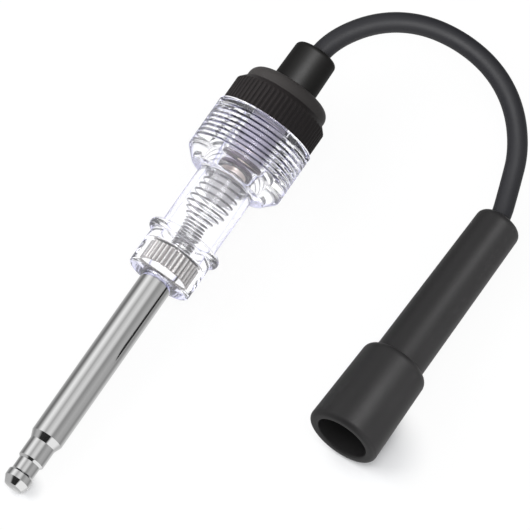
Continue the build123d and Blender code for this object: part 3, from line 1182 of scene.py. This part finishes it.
@dataclass
class Spring:
    """The contact spring: close turns on the stud, a flare, then open turns up to the lamp."""

    wire_r: float = 0.26
    small_r: float = 2.6
    large_r: float = 4.85
    close_turns: int = 9
    close_pitch: float = 0.85
    flare_turns: int = 3
    flare_pitch: float = 1.3
    open_turns: int = 8
    lean: float = 0.6
    lean_turns: int = 14
    points_a_turn: int = 24
    # Painted shade on the upper side of the turns: its angle, in radians, and where it fades
    shaded_side: float = 0.23
    shade_edge: tuple[float, float] = (-0.1, 0.5)

    def build(self, frame: dict, tool: Spindle) -> list[bpy.types.Object]:
        """Model the wire as a smooth tube along its winding.

        Args:
            frame: the loaded frame.
            tool: the tool's axis.

        Returns:
            The dressed pieces.
        """
        extent = tool.span(frame["nodes"]["contact_spring"])
        foot = extent.low + self.wire_r
        length = extent.high - self.wire_r - foot
        stud = tool.span(frame["nodes"]["probe_rod"])
        lean_from = (stud.high - foot) / self.close_pitch
        open_len = length - self.close_turns * self.close_pitch - self.flare_turns * self.flare_pitch
        open_pitch = open_len / self.open_turns
        turns = self.close_turns + self.flare_turns + self.open_turns
        start_fresh()
        curve = bpy.data.curves.new("contact_spring_visual", "CURVE")
        curve.dimensions = "3D"
        curve.bevel_depth = self.wire_r
        curve.bevel_resolution = 5
        curve.resolution_u = 2
        curve.use_fill_caps = True
        spline = curve.splines.new("NURBS")
        spline.points.add(turns * self.points_a_turn)
        for index, point in enumerate(spline.points):
            turn = index / self.points_a_turn
            closed = min(turn, self.close_turns)
            flared = min(max(turn - self.close_turns, 0), self.flare_turns)
            opened = max(turn - self.close_turns - self.flare_turns, 0)
            rise = closed * self.close_pitch + flared * self.flare_pitch + opened * open_pitch
            reach = self.small_r + (self.large_r - self.small_r) * flared / self.flare_turns
            angle = 2 * pi * turn
            bowed = min(max(turn - lean_from, 0), self.lean_turns)
            lean = self.lean * sin(pi * bowed / self.lean_turns) ** 2
            point.co = (reach * cos(angle), reach * sin(angle) - lean, foot + rise, 1)
        spline.order_u = 4
        spline.use_endpoint_u = True
        piece = bpy.data.objects.new("contact_spring_visual", curve)
        bpy.context.scene.collection.objects.link(piece)
        bpy.context.view_layer.objects.active = piece
        piece.select_set(True)
        bpy.ops.object.convert(target="MESH")
        piece = bpy.context.object
        bpy.ops.object.shade_smooth()
        # Painted shade: the upper side of each turn is marked, and the wire paints it dark
        marks = piece.data.attributes.new(MARK, "FLOAT", "POINT")
        for vertex, mark in zip(piece.data.vertices, marks.data):
            angle = atan2(vertex.co.y, vertex.co.x) - self.shaded_side
            mark.value = smoothstep(*self.shade_edge, cos(angle))
        piece.data.transform(tool.matrix)
        return [place(piece, Body.HOUSING, "spring_steel", WIRE.material(), "contact_spring")]


@dataclass
class Lamp:
    """The indicator lamp: brass shell, glass bulb, stem, electrodes and contacts."""

    shell_r: float = 4.0
    shell_wall: float = 0.22
    skirt: float = 2.8
    flange_r: float = 5.2
    flange_len: float = 0.7
    base_r: float = 3.6
    bulb_r: float = 3.7
    bulb_wall: float = 0.45
    bulb_nose: float = 2.6
    bulb_tip_r: float = 0.25
    bulb_steps: int = 12

    def build(self, frame: dict, tool: Spindle) -> list[bpy.types.Object]:
        """Model the shell and the bulb, and dress the small parts inside.

        Args:
            frame: the loaded frame.
            tool: the tool's axis.

        Returns:
            The dressed pieces.
        """
        shell = tool.span(frame["nodes"]["lamp_shell"])
        bulb = tool.span(frame["nodes"]["lamp_bulb"])
        flange = shell.low + self.skirt
        flange_top = flange + self.flange_len
        inner = self.shell_r - self.shell_wall
        base_inner = self.base_r - self.shell_wall
        ring = Turning("lamp_shell_visual", inner, shell.low, 96, solid=False)
        ring.through(
            [
                (self.shell_r, shell.low),
                (self.shell_r, flange),
                (self.flange_r, flange),
                (self.flange_r, flange_top),
                (self.base_r, flange_top),
                (self.base_r, shell.high),
                (base_inner, shell.high),
                (base_inner, flange_top - self.shell_wall),
                (inner, flange_top - self.shell_wall),
                (inner, shell.low),
            ]
        )
        ring.close()
        ring.soften(self.shell_r, shell.low, 0.06, 2)
        ring.soften(self.flange_r, flange, 0.15, 3)
        ring.soften(self.flange_r, flange_top, 0.15, 3)
        ring.soften(self.shell_r, flange, 0.3, 3)
        # Painted shade: the flange and the base above it are marked, and the brass paints them dark
        # purple
        ring.marked(lambda _, station, turn: float(station > flange - CLOSE))
        brass = BRASS.material()
        pieces = [place(ring.done(tool), Body.LEAD, "lamp_brass", brass, "lamp_shell")]

        nose = Turning("lamp_bulb_visual", self.bulb_tip_r, bulb.low, 96)
        for step in range(1, self.bulb_steps + 1):
            angle = radians(90 * step / self.bulb_steps)
            radius = self.bulb_tip_r + (self.bulb_r - self.bulb_tip_r) * sin(angle)
            nose.to(radius, bulb.low + self.bulb_nose * (1 - cos(angle)))
        nose.to(self.bulb_r, bulb.high)
        bpy.ops.mesh.delete(type="FACE")
        bpy.ops.object.mode_set(mode="OBJECT")
        wall = nose.piece.modifiers.new("wall", "SOLIDIFY")
        wall.thickness = self.bulb_wall
        wall.offset = -1
        bpy.ops.object.modifier_apply(modifier=wall.name)
        bpy.ops.object.mode_set(mode="EDIT")
        glass = GLASS.material()
        pieces.append(place(nose.done(tool), Body.LEAD, "lamp_glass", glass, "lamp_bulb"))

        nodes = frame["nodes"]
        metal = NICKEL.material()
        for name, material in (
            ("lamp_stem", glass),
            ("lamp_electrode_shell", metal),
            ("lamp_electrode_tip", metal),
            ("lamp_insulator", BEAD.material()),
            ("lamp_contact", SOLDER.material()),
            ("lead_terminal", brass),
        ):
            dress_node(nodes[name], material)
        return pieces


def dress_node(node: bpy.types.Object, material: bpy.types.Material) -> None:
    """Give a node of the frame a better material.

    Args:
        node: the object of the node.
        material: its finish.
    """
    for slot in node.material_slots:
        slot.material = material
    log.info("%s: node of the frame, dressed in %s", node.name, material.name)


@dataclass
class CapEnd:
    """The contact holder, the sealing ring, the screw cap and the strain relief."""

    holder_socket_wall: float = 0.8
    socket_r: float = 3.65
    spigot_r: float = 5.75
    spigot_len: float = 4.6
    flange_r: float = 8.8
    flange_len: float = 1.2
    neck_r: float = 4.6
    tail_r: float = 3.7
    lead_r: float = 2.45
    cap_r: float = 12.0
    grip_len: float = 7.5
    grip_chamfer_r: float = 1.3
    grip_chamfer: float = 1.5
    flutes: int = 60
    flute_steps: int = 12
    flute_depth: float = 0.32
    flute_half: float = 0.42
    shoulder_r: float = 10.5
    shoulder_round: float = 2.45
    cap_wall_top: float = 1.9
    hole_gap: float = 0.08
    thread_r: float = 9.85
    relief_base_r: float = 5.57
    relief_r: float = 5.37
    relief_round: float = 1.3

    def holder(self, frame: dict, tool: Spindle) -> bpy.types.Object:
        """Model the dark holder between the lamp and the cap.

        Args:
            frame: the loaded frame.
            tool: the tool's axis.

        Returns:
            The dressed piece.
        """
        nodes = frame["nodes"]
        extent = tool.span(nodes["contact_holder"])
        seal = tool.span(nodes["sealing_ring"])
        cap = tool.span(nodes["screw_cap"])
        outer = self.socket_r + self.holder_socket_wall
        spigot = seal.high - self.spigot_len
        inner_end = tool.span(nodes["lead_terminal"]).low - self.holder_socket_wall
        ring = Turning("contact_holder_visual", self.socket_r, extent.low, 96, solid=False)
        ring.through(
            [
                (outer, extent.low),
                (outer, spigot),
                (self.spigot_r, spigot),
                (self.spigot_r, seal.high),
                (self.flange_r, seal.high),
                (self.flange_r, seal.high + self.flange_len),
                (self.neck_r, seal.high + self.flange_len),
                (self.neck_r, cap.high),
                (self.tail_r, cap.high),
                (self.tail_r, extent.high),
                (self.lead_r, extent.high),
                (self.lead_r, cap.high),
                (self.socket_r, inner_end),
                (self.socket_r, extent.low),
            ]
        )
        ring.close()
        ring.soften(outer, extent.low, 0.2, 3)
        ring.soften(self.spigot_r, spigot, 0.3, 3)
        return place(ring.done(tool), Body.LEAD, "black_plastic", HOLDER.material(), "contact_holder")

    def cap(self, frame: dict, tool: Spindle) -> bpy.types.Object:
        """Model the screw cap with its fluted grip.

        Args:
            frame: the loaded frame.
            tool: the tool's axis.

        Returns:
            The dressed piece.
        """
        extent = tool.span(frame["nodes"]["screw_cap"])
        shoulder = extent.low + self.grip_len
        chamfer_at = shoulder - self.grip_chamfer
        hole = self.neck_r + self.hole_gap
        ceiling = extent.high - self.cap_wall_top
        flute_r = self.cap_r - self.flute_depth
        runout = chamfer_at + self.grip_chamfer * self.flute_depth / self.grip_chamfer_r
        segments = self.flutes * self.flute_steps
        ring = Turning("screw_cap_visual", self.thread_r, extent.low, segments, solid=False)
        ring.through(
            [
                (self.cap_r, extent.low),
                (self.cap_r, chamfer_at),
                (flute_r, runout),
                (self.cap_r - self.grip_chamfer_r, shoulder),
                (self.shoulder_r, shoulder),
            ]
        )
        middle = (self.shoulder_r - self.shoulder_round, extent.high - self.shoulder_round)
        ring.through(arc(middle, self.shoulder_round, 0, 90, 12))
        ring.through([(hole, extent.high), (hole, ceiling)])
        ring.through([(self.thread_r, ceiling), (self.thread_r, extent.low)])
        ring.close()

        half_angle = self.flute_half / self.cap_r / (2 * pi) * self.flutes

        def flute(radius: float, station: float, turn: float) -> float:
            """Press the narrow flutes into the grip.

            Args:
                radius: the corner's radius.
                station: its station.
                turn: its angle, in turns.

            Returns:
                The corner's new radius.
            """
            if radius < flute_r - CLOSE or station > runout - CLOSE:
                return radius
            across = (turn * self.flutes + 0.5) % 1 - 0.5
            share = min(abs(across) / half_angle, 1)
            return min(radius, self.cap_r - self.flute_depth * sqrt(1 - share**2))

        ring.reshape(flute)
        piece = place(ring.done(tool, 28), Body.CAP, "black_plastic", MOULDING.material(), "screw_cap")
        piece.data.materials.append(GRIP.material())
        piece.data.materials.append(UNDERSIDE.material())
        # The grip takes the second material, darker for painted shade, and the lower face and the inner
        # walls the third, violet for painted light
        for face in piece.data.polygons:
            offset = (face.center - tool.origin) / MILLIMETRE
            station = offset.dot(tool.along)
            inside = (offset - tool.along * station).length < self.thread_r + CLOSE
            if station < extent.low + CLOSE or (inside and station < ceiling + CLOSE):
                face.material_index = 2
            elif station < shoulder - CLOSE:
                face.material_index = 1
        return piece

    def relief(self, frame: dict, tool: Spindle) -> bpy.types.Object:
        """Model the rubber strain relief.

        Args:
            frame: the loaded frame.
            tool: the tool's axis.

        Returns:
            The dressed piece.
        """
        extent = tool.span(frame["nodes"]["strain_relief"])
        inner = self.lead_r
        ring = Turning("strain_relief_visual", inner, extent.low, 96, solid=False)
        ring.to(self.relief_base_r, extent.low)
        middle = (self.relief_r - self.relief_round, extent.high - self.relief_round)
        ring.through(arc(middle, self.relief_round, 0, 90, 10))
        ring.through([(inner, extent.high), (inner, extent.low)]).close()
        ring.soften(inner, extent.high, 0.3, 3)
        return place(ring.done(tool), Body.LEAD, "boot_rubber", RELIEF.material(), "strain_relief")

    def build(self, frame: dict, tool: Spindle) -> list[bpy.types.Object]:
        """Model the end of the tool that the lead comes out of.

        Args:
            frame: the loaded frame.
            tool: the tool's axis.

        Returns:
            The dressed pieces.
        """
        dress_node(frame["nodes"]["sealing_ring"], SEAL.material())
        return [self.holder(frame, tool), self.cap(frame, tool), self.relief(frame, tool)]


@dataclass
class PlugBoot:
    """The rubber boot on the far end of the lead, with its clip and snap ring."""

    lead_r: float = 2.45
    shank_r: float = 5.63
    root_r: float = 6.28
    shank_len: float = 43.7
    shank_round: float = 2.0
    cup_r: float = 8.33
    cup_round: float = 2.0
    mouth_edge_r: float = 9.0
    mouth_r: float = 6.5
    mouth_depth: float = 20.5
    lip_round: float = 1.2
    lip_inner_round: float = 0.5
    bore_r: float = 4.75
    entry: float = 8.0

    def build(self, frame: dict, axis: Spindle) -> bpy.types.Object:
        """Model the boot as one moulding and dress the clip inside it.

        Args:
            frame: the loaded frame.
            axis: the boot's axis, from its shank to its mouth.

        Returns:
            The dressed boot.
        """
        extent = axis.span(frame["nodes"]["boot"])
        floor_at = extent.high - self.mouth_depth
        ring = Turning("plug_boot_visual", self.lead_r, 0, 128, solid=False)
        slope = degrees(atan2(self.root_r - self.shank_r, self.shank_len))
        shank_end = (self.shank_r - self.shank_round, self.shank_round)
        ring.through(arc(shank_end, self.shank_round, -90, -slope, 8))
        ring.to(self.root_r, self.shank_len)
        cup_slope = degrees(atan2(self.mouth_edge_r - self.cup_r, extent.high - self.shank_len))
        shoulder = (self.cup_r - self.cup_round, self.shank_len + self.cup_round)
        ring.through(arc(shoulder, self.cup_round, -90, -cup_slope, 8))
        lip = (self.mouth_edge_r - self.lip_round, extent.high - self.lip_round)
        ring.through(arc(lip, self.lip_round, -cup_slope, 90, 8))
        inner_lip = (self.mouth_r + self.lip_inner_round, extent.high - self.lip_inner_round)
        ring.through(arc(inner_lip, self.lip_inner_round, 90, 180, 5))
        ring.through(
            [
                (self.mouth_r, floor_at),
                (self.bore_r, floor_at),
                (self.bore_r, self.entry),
                (self.lead_r, self.entry),
                (self.lead_r, 0),
            ]
        )
        ring.close()
        ring.soften(self.root_r, self.shank_len, 0.25, 3)
        ring.soften(self.mouth_r, floor_at, 0.4, 3)
        boot = place(ring.done(axis), Body.LEAD, "boot_rubber", RUBBER.material(), "boot")
        dress_node(frame["nodes"]["plug_clip"], ZINC.material())
        dress_node(frame["nodes"]["snap_ring"], WIRE.material())
        return boot


@dataclass
class Lead:
    """The free lead from the cap to the boot.

    Args:
        radius: its radius, in millimetres.
        held: how far above the strain relief's lower end its drawn route starts.
        straight: how far it runs straight on from there.
        entry: where its route comes into the boot.
        inside: where it ends in the boot.
        bow: the route points of its solid, in metres, moved a little to follow the photograph.
    """

    radius: float = 2.4
    held: float = 0.8
    straight: float = 6.9
    entry: float = 1.0
    inside: float = 8.0
    bow: tuple[tuple[float, float, float], ...] = (
        (0.0674, -0.0013, 0.0166),
        (0.0762, -0.0072, 0.0169),
        (0.0818, -0.0156, 0.0162),
        (0.0839, -0.0256, 0.0145),
        (0.0829, -0.0353, 0.0123),
        (0.0785, -0.0436, 0.0100),
        (0.0709, -0.0500, 0.0079),
        (0.0626, -0.0530, 0.0063),
    )

    def build(
        self,
        frame: dict,
        tool: Spindle,
        axis: Spindle,
        boot: bpy.types.Object,
    ) -> bpy.types.Object:
        """Args:
            frame: the loaded frame.
            tool: the tool's axis.
            axis: the boot's axis.
            boot: the dressed boot, which is not used.

        Returns:
            The dressed lead.
        """
        relief = tool.span(frame["nodes"]["strain_relief"])
        start = relief.low + self.held
        route = [
            tool.origin + tool.along * start * MILLIMETRE,
            tool.origin + tool.along * (start + self.straight) * MILLIMETRE,
            *self.bow,
            axis.origin + axis.along * self.entry * MILLIMETRE,
            axis.origin + axis.along * self.inside * MILLIMETRE,
        ]
        curve = bpy.data.curves.new("lead_visual", "CURVE")
        curve.dimensions = "3D"
        curve.bevel_depth = self.radius * MILLIMETRE
        curve.bevel_resolution = 8
        curve.resolution_u = 16
        spline = curve.splines.new("NURBS")
        spline.points.add(len(route) - 1)
        for point, where in zip(spline.points, route):
            point.co = (*where, 1)
        spline.order_u = 3
        spline.use_endpoint_u = True
        piece = bpy.data.objects.new("lead_visual", curve)
        bpy.context.scene.collection.objects.link(piece)
        place(piece, Body.LEAD, "lead_jacket", JACKET.material(), "lead")
        return piece


@dataclass(frozen=True)
class PieceLamp:
    """A square lamp that lights one piece alone.

    Args:
        turn: where it hangs, as an angle round the piece's axis in degrees, from the camera's
            side; None is at the camera itself.
        size: its width, in metres.
        power: its power, in watts.
        shine: whether the piece reflects it.
    """

    turn: float | None
    size: float
    power: float
    shine: bool


@dataclass(frozen=True)
class RoomLamp:
    """A soft rectangular lamp that lights everything.

    Args:
        name: its name.
        where: its place, in metres.
        size: its width and height, in metres.
        power: its power, in watts.
    """

    name: str
    where: tuple[float, float, float]
    size: tuple[float, float]
    power: float


@dataclass
class Studio:
    """The floor, the light and the camera of the photograph.

    Args:
        azimuth: the side that the camera looks from, in degrees; 0 looks along +Y.
        elevation: how far above the horizon the camera is, in degrees.
        distance: from the camera to the object, in metres.
        tip_pixel: where the middle of the tip's face lies in the photograph.
        pixel: size of a pixel at the object, in metres.
        image: width and height of the photograph, in pixels.
        sensor: width of the camera's sensor, in millimetres.
        clip_start: the nearest thing that the camera sees, in metres.
        floor_size: width of the table, in metres.
        table_bounce: how much light the table sends back to the object.
        table_shade: how light the camera sees the table where it keeps its shadows.
        table_glow: the share of pure white in what the camera sees of the table.
        touch_glow: the same share near the touches.
        touches: x, y and size of the places where the cup and the tip touch the table, in metres.
        through_glow: the share of pure white that the clear plastic shows of the table.
        through_gain: makes up for what the clear plastic's surfaces reflect.
        fill: the room's plain light.
        bands: the greys of the room that the metal reflects, round the tool.
        low_bands: the same below the tip's end of the tool.
        low_end: where the low bands take over, as cosines from the tool's direction.
        high_end: where the room turns dark behind the cap, as cosines too.
        dark: the room's colour there.
        horizon: what the clear plastic shows of the room, by height.
        far_table: what it shows of the table, by distance in metres.
        lamps: the room's lamps.
        lamp_distance: how far from the object the lamps of single pieces hang, in metres.
        aim: where all lamps point, in metres.
        relief_lamp: the lamp of the strain relief's highlight.
        boot_lamp: the lamp of the boot's highlight.
        boot_side_lamp: the lamp that lights the boot's left edge.
        cap_lamp: the lamp that lights the cap's left edge.
        lead_lamp: the lamp of the lead.
    """

    azimuth: float = -55.79
    elevation: float = 66.5
    distance: float = 5.5
    tip_pixel: tuple[float, float] = (12.7, 487.0)
    pixel: float = 0.000229
    image: int = 530
    sensor: float = 36.0
    clip_start: float = 0.05
    floor_size: float = 8.0
    table_bounce: float = 0.9
    table_shade: float = 0.74
    table_glow: float = 0.93
    touch_glow: float = 0.0
    touches: tuple[tuple[float, float, float], ...] = (
        (-0.0608, -0.0015, 0.004),
        (-0.009, -0.062, 0.0105),
    )
    through_glow: float = 0.9
    through_gain: float = 1.35
    fill: tuple[float, ...] = (0.85, 0.86, 0.88, 1)
    bands: tuple[tuple[float, object], ...] = (
        (0.0, 0.6),
        (0.08, 0.52),
        (0.13, 0.37),
        (0.17, 0.24),
        (0.205, 0.17),
        (0.235, 0.3),
        (0.283, 0.76),
        (0.315, 1.0),
        (0.348, 0.87),
        (0.406, 0.44),
        (0.446, 0.65),
        (0.49, 0.78),
        (0.519, 0.68),
        (0.554, 0.34),
        (0.574, 0.31),
        (0.652, 0.47),
        (0.742, 0.4),
        (0.78, 0.29),
        (0.81, 0.34),
        (0.87, 0.6),
        (1.0, 0.75),
    )
    low_bands: tuple[tuple[float, object], ...] = (
        (0.0, 0.5),
        (0.3, 0.5),
        (0.36, 0.03),
        (0.54, 0.02),
        (0.58, 0.95),
        (0.85, 0.95),
        (1.0, 0.5),
    )
    low_end: tuple[float, float] = (-0.05, -0.3)
    high_end: tuple[float, float] = (0.72, 0.9)
    dark: tuple[float, ...] = (0.03, 0.03, 0.035, 1)
    horizon: tuple[tuple[float, object], ...] = (
        (0.0, (0.25, 0.25, 0.5)),
        (0.09, (0.7, 0.7, 0.85)),
        (0.2, (1.0, 1.0, 1.0)),
        (1.0, (1.0, 1.0, 1.0)),
    )
    far_table: tuple[tuple[float, object], ...] = (
        (0.2, (1.0, 1.0, 1.0)),
        (0.5, (0.85, 0.85, 0.92)),
        (1.0, (0.5, 0.5, 0.65)),
    )
    lamps: tuple[RoomLamp, ...] = (
        RoomLamp("key", (-0.1, 0.45, 0.5), (0.7, 0.35), 3),
        RoomLamp("top", (-0.15, -0.2, 0.8), (0.5, 0.3), 3),
    )
    lamp_distance: float = 0.9
    aim: tuple[float, float, float] = (0, -0.02, 0)
    relief_lamp: PieceLamp = PieceLamp(turn=-8.5, size=0.4, power=21, shine=True)
    boot_lamp: PieceLamp = PieceLamp(turn=-10.7, size=0.4, power=3.4, shine=True)
    boot_side_lamp: PieceLamp = PieceLamp(turn=-85, size=0.5, power=60, shine=False)
    cap_lamp: PieceLamp = PieceLamp(turn=-80, size=0.5, power=6.5, shine=False)
    lead_lamp: PieceLamp = PieceLamp(turn=None, size=0.7, power=8.5, shine=True)

    @property
    def back(self) -> Vector:
        """The direction from the object to the camera."""
        around = radians(self.azimuth)
        above = radians(self.elevation)
        return Vector((sin(around) * cos(above), -cos(around) * cos(above), sin(above)))

    def camera(self, tool: Spindle) -> None:
        """Set the camera where the photograph was taken from.

        Args:
            tool: the tool's axis, whose origin is at the middle of the tip's face.
        """
        back = self.back
        right = Vector((cos(radians(self.azimuth)), sin(radians(self.azimuth)), 0))
        up = back.cross(right)
        middle = self.image / 2
        across = (middle - self.tip_pixel[0]) * self.pixel
        rise = (self.tip_pixel[1] - middle) * self.pixel
        target = tool.origin + right * across + up * rise
        data = bpy.data.cameras.new("camera")
        data.sensor_width = self.sensor
        data.lens = self.sensor * self.distance / (self.image * self.pixel)
        data.clip_start = self.clip_start
        data.clip_end = 2 * self.distance
        camera = bpy.data.objects.new("camera", data)
        camera.matrix_world = Matrix.Translation(target + back * self.distance) @ Matrix(
            (right, up, back)
        ).transposed().to_4x4()
        bpy.context.scene.collection.objects.link(camera)
        bpy.context.scene.camera = camera

    def hang(self, room_lamp: RoomLamp) -> bpy.types.Object:
        """Hang a lamp that points at the object.

        Args:
            room_lamp: what the lamp is like.

        Returns:
            The lamp, which reflections don't show.
        """
        data = bpy.data.lights.new(room_lamp.name, "AREA")
        data.shape = "RECTANGLE"
        data.size, data.size_y = room_lamp.size
        data.energy = room_lamp.power
        lamp = bpy.data.objects.new(room_lamp.name, data)
        lamp.location = room_lamp.where
        lamp.rotation_mode = "QUATERNION"
        lamp.rotation_quaternion = (Vector(self.aim) - lamp.location).to_track_quat("-Z", "Y")
        lamp.visible_glossy = False
        bpy.context.scene.collection.objects.link(lamp)
        return lamp

    def world(self, tool: Spindle) -> None:
        """Light the scene from all round, white to the camera and banded in reflections.

        Args:
            tool: the tool's axis, which the bands run along.
        """
        world = bpy.data.worlds.new("studio")
        bpy.context.scene.world = world
        world.use_nodes = True
        nodes = Nodes(world.node_tree)
        where = nodes.add("ShaderNodeTexCoord").outputs["Generated"]

        def towards(direction: Vector) -> bpy.types.NodeSocket:
            """Compare a ray's direction with another one.

            Args:
                direction: the other direction, of length 1.

            Returns:
                The socket of the cosine of the angle between them.
            """
            product = nodes.add("ShaderNodeVectorMath", operation="DOT_PRODUCT")
            nodes.join(where, product.inputs[0])
            product.inputs[1].default_value = direction
            return product.outputs["Value"]

        # The room has its bands along the tool: 0.5 is the camera's side, more is to the tool's right
        front = (self.back - tool.along * self.back.dot(tool.along)).normalized()
        end = towards(tool.along)
        turn = nodes.maths("ARCTAN2", towards(tool.along.cross(front)), towards(front))
        share = nodes.maths("MULTIPLY_ADD", turn, 1 / (2 * pi), 0.5)
        banded = nodes.ramp(share, self.bands)
        low = nodes.ramp(share, self.low_bands)
        banded = nodes.blend(nodes.between(end, *self.low_end), banded, low)
        banded = nodes.blend(nodes.between(end, *self.high_end), banded, self.dark)
        path = nodes.add("ShaderNodeLightPath")
        shade = nodes.blend(path.outputs[Ray.GLOSSY.value], self.fill, banded)
        shade = nodes.blend(path.outputs[Ray.CAMERA.value], shade, (1, 1, 1, 1))
        # What the clear plastic bends towards: white above and below, violet near the horizon
        height = nodes.maths("ABSOLUTE", towards(Vector((0, 0, 1))))
        shade = nodes.blend(path.outputs[Ray.THROUGH.value], shade, nodes.ramp(height, self.horizon))
        background = nodes.add("ShaderNodeBackground")
        nodes.join(shade, background.inputs["Color"])
        gain = nodes.maths("MULTIPLY_ADD", path.outputs[Ray.THROUGH.value], self.through_gain - 1, 1)
        nodes.join(gain, background.inputs["Strength"])
        output = nodes.add("ShaderNodeOutputWorld")
        nodes.join(background.outputs[0], output.inputs["Surface"])

    def table_finish(self) -> bpy.types.Material:
        """Make the white table's material.

        Returns:
            A white that keeps a soft share of the shadow, and all of it near the touches.
        """
        material = bpy.data.materials.new("white_table")
        material.use_nodes = True
        nodes = Nodes(material.node_tree)
        path = nodes.add("ShaderNodeLightPath")
        camera = path.outputs[Ray.CAMERA.value]
        through = path.outputs[Ray.THROUGH.value]
        diffuse = nodes.add("ShaderNodeBsdfDiffuse")
        bounce = (self.table_bounce, self.table_bounce, self.table_bounce, 1)
        shade = (self.table_shade, self.table_shade, self.table_shade, 1)
        nodes.join(nodes.blend(camera, bounce, shade), diffuse.inputs["Color"])
        # The further table looks violet through the clear plastic, as the far side of the room does
        where = nodes.add("ShaderNodeTexCoord").outputs["Object"]
        reach = nodes.add("ShaderNodeVectorMath", operation="LENGTH")
        nodes.join(where, reach.inputs[0])
        glow = nodes.add("ShaderNodeEmission")
        far = nodes.ramp(reach.outputs["Value"], self.far_table)
        nodes.join(nodes.blend(through, (1, 1, 1, 1), far), glow.inputs["Color"])
        gain = nodes.maths("MULTIPLY_ADD", through, self.through_gain - 1, 1)
        nodes.join(gain, glow.inputs["Strength"])
        # The glow is weaker near the touches, which leaves the shadow there
        apart = 1.0
        for x, y, size in self.touches:
            gap = nodes.add("ShaderNodeVectorMath", operation="DISTANCE")
            nodes.join(where, gap.inputs[0])
            gap.inputs[1].default_value = (x, y, 0)
            past = nodes.between(gap.outputs["Value"], 0.5 * size, 1.5 * size)
            apart = nodes.maths("MULTIPLY", apart, past)
        strength = nodes.maths("MULTIPLY_ADD", apart, self.table_glow - self.touch_glow, self.touch_glow)
        seen = nodes.maths("MULTIPLY", camera, strength)
        either = nodes.maths("MAXIMUM", seen, nodes.maths("MULTIPLY", through, self.through_glow))
        mix = nodes.add("ShaderNodeMixShader")
        nodes.join(either, mix.inputs["Fac"])
        nodes.join(diffuse.outputs[0], mix.inputs[1])
        nodes.join(glow.outputs[0], mix.inputs[2])
        output = nodes.add("ShaderNodeOutputMaterial")
        nodes.join(mix.outputs[0], output.inputs["Surface"])
        return material

    def floor(self) -> None:
        """Lay the white table."""
        start_fresh()
        bpy.ops.mesh.primitive_plane_add(size=self.floor_size)
        table = bpy.context.object
        table.name = "table"
        table.data.materials.append(self.table_finish())
        table.visible_glossy = False

    def glance(self, axis: Vector, turn: float) -> Vector:
        """Work out where a lamp hangs that a round piece reflects to the camera.

        Args:
            axis: the direction of the piece.
            turn: the angle round the piece, in degrees, from the camera's side.

        Returns:
            The direction from the object to the lamp.
        """
        end = -self.back.dot(axis)
        front = (self.back + axis * end).normalized()
        side = axis.cross(front)
        return axis * end + (front * cos(radians(turn)) + side * sin(radians(turn))) * sqrt(1 - end**2)

    def light_piece(self, piece: bpy.types.Object, axis: Spindle, kind: PieceLamp) -> None:
        """Hang a lamp for one piece alone.

        Args:
            piece: what it lights.
            axis: the axis of the piece.
            kind: what the lamp is like.
        """
        towards = self.back if kind.turn is None else self.glance(axis.along, kind.turn)
        where = tuple(towards * self.lamp_distance)
        name = "lamp_for_" + piece.name
        lamp = self.hang(RoomLamp(name, where, (kind.size, kind.size), kind.power))
        lamp.visible_glossy = kind.shine
        lit = bpy.data.collections.new(name)
        lit.objects.link(piece)
        lamp.light_linking.receiver_collection = lit

    def build(self, tool: Spindle) -> None:
        """Set up the whole studio, apart from the lamps of single pieces.

        Args:
            tool: the tool's axis.
        """
        self.camera(tool)
        self.world(tool)
        self.floor()
        for room_lamp in self.lamps:
            self.hang(room_lamp)
        bpy.context.scene.view_settings.view_transform = "Standard"


def main() -> None:
    """Load the frame, then build and dress the tester on it."""
    logging.basicConfig(level=logging.INFO, format="%(name)s: %(message)s")
    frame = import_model()
    nodes = frame["nodes"]
    turn = next(joint for joint in frame["joints"] if joint["name"] == "cap_turn")
    mouth = next(mount for mount in frame["record"]["mounts"] if mount["name"] == "boot_mouth")
    tool = Spindle.through(turn["pos_m"], turn["axis"], nodes["probe_rod"])
    axis = Spindle.through(mouth["pos_m"], mouth["axis"], nodes["boot"])
    studio = Studio()
    studio.build(tool)
    boot = PlugBoot().build(frame, axis)
    lead = Lead().build(frame, tool, axis, boot)
    Probe().build(frame, tool)
    Housing().build(frame, tool)
    Spring().build(frame, tool)
    Lamp().build(frame, tool)
    cap, relief = CapEnd().build(frame, tool)[1:]
    studio.light_piece(relief, tool, studio.relief_lamp)
    studio.light_piece(boot, axis, studio.boot_lamp)
    studio.light_piece(boot, axis, studio.boot_side_lamp)
    studio.light_piece(cap, tool, studio.cap_lamp)
    studio.light_piece(lead, axis, studio.lead_lamp)


if __name__ == "__main__":
    main()
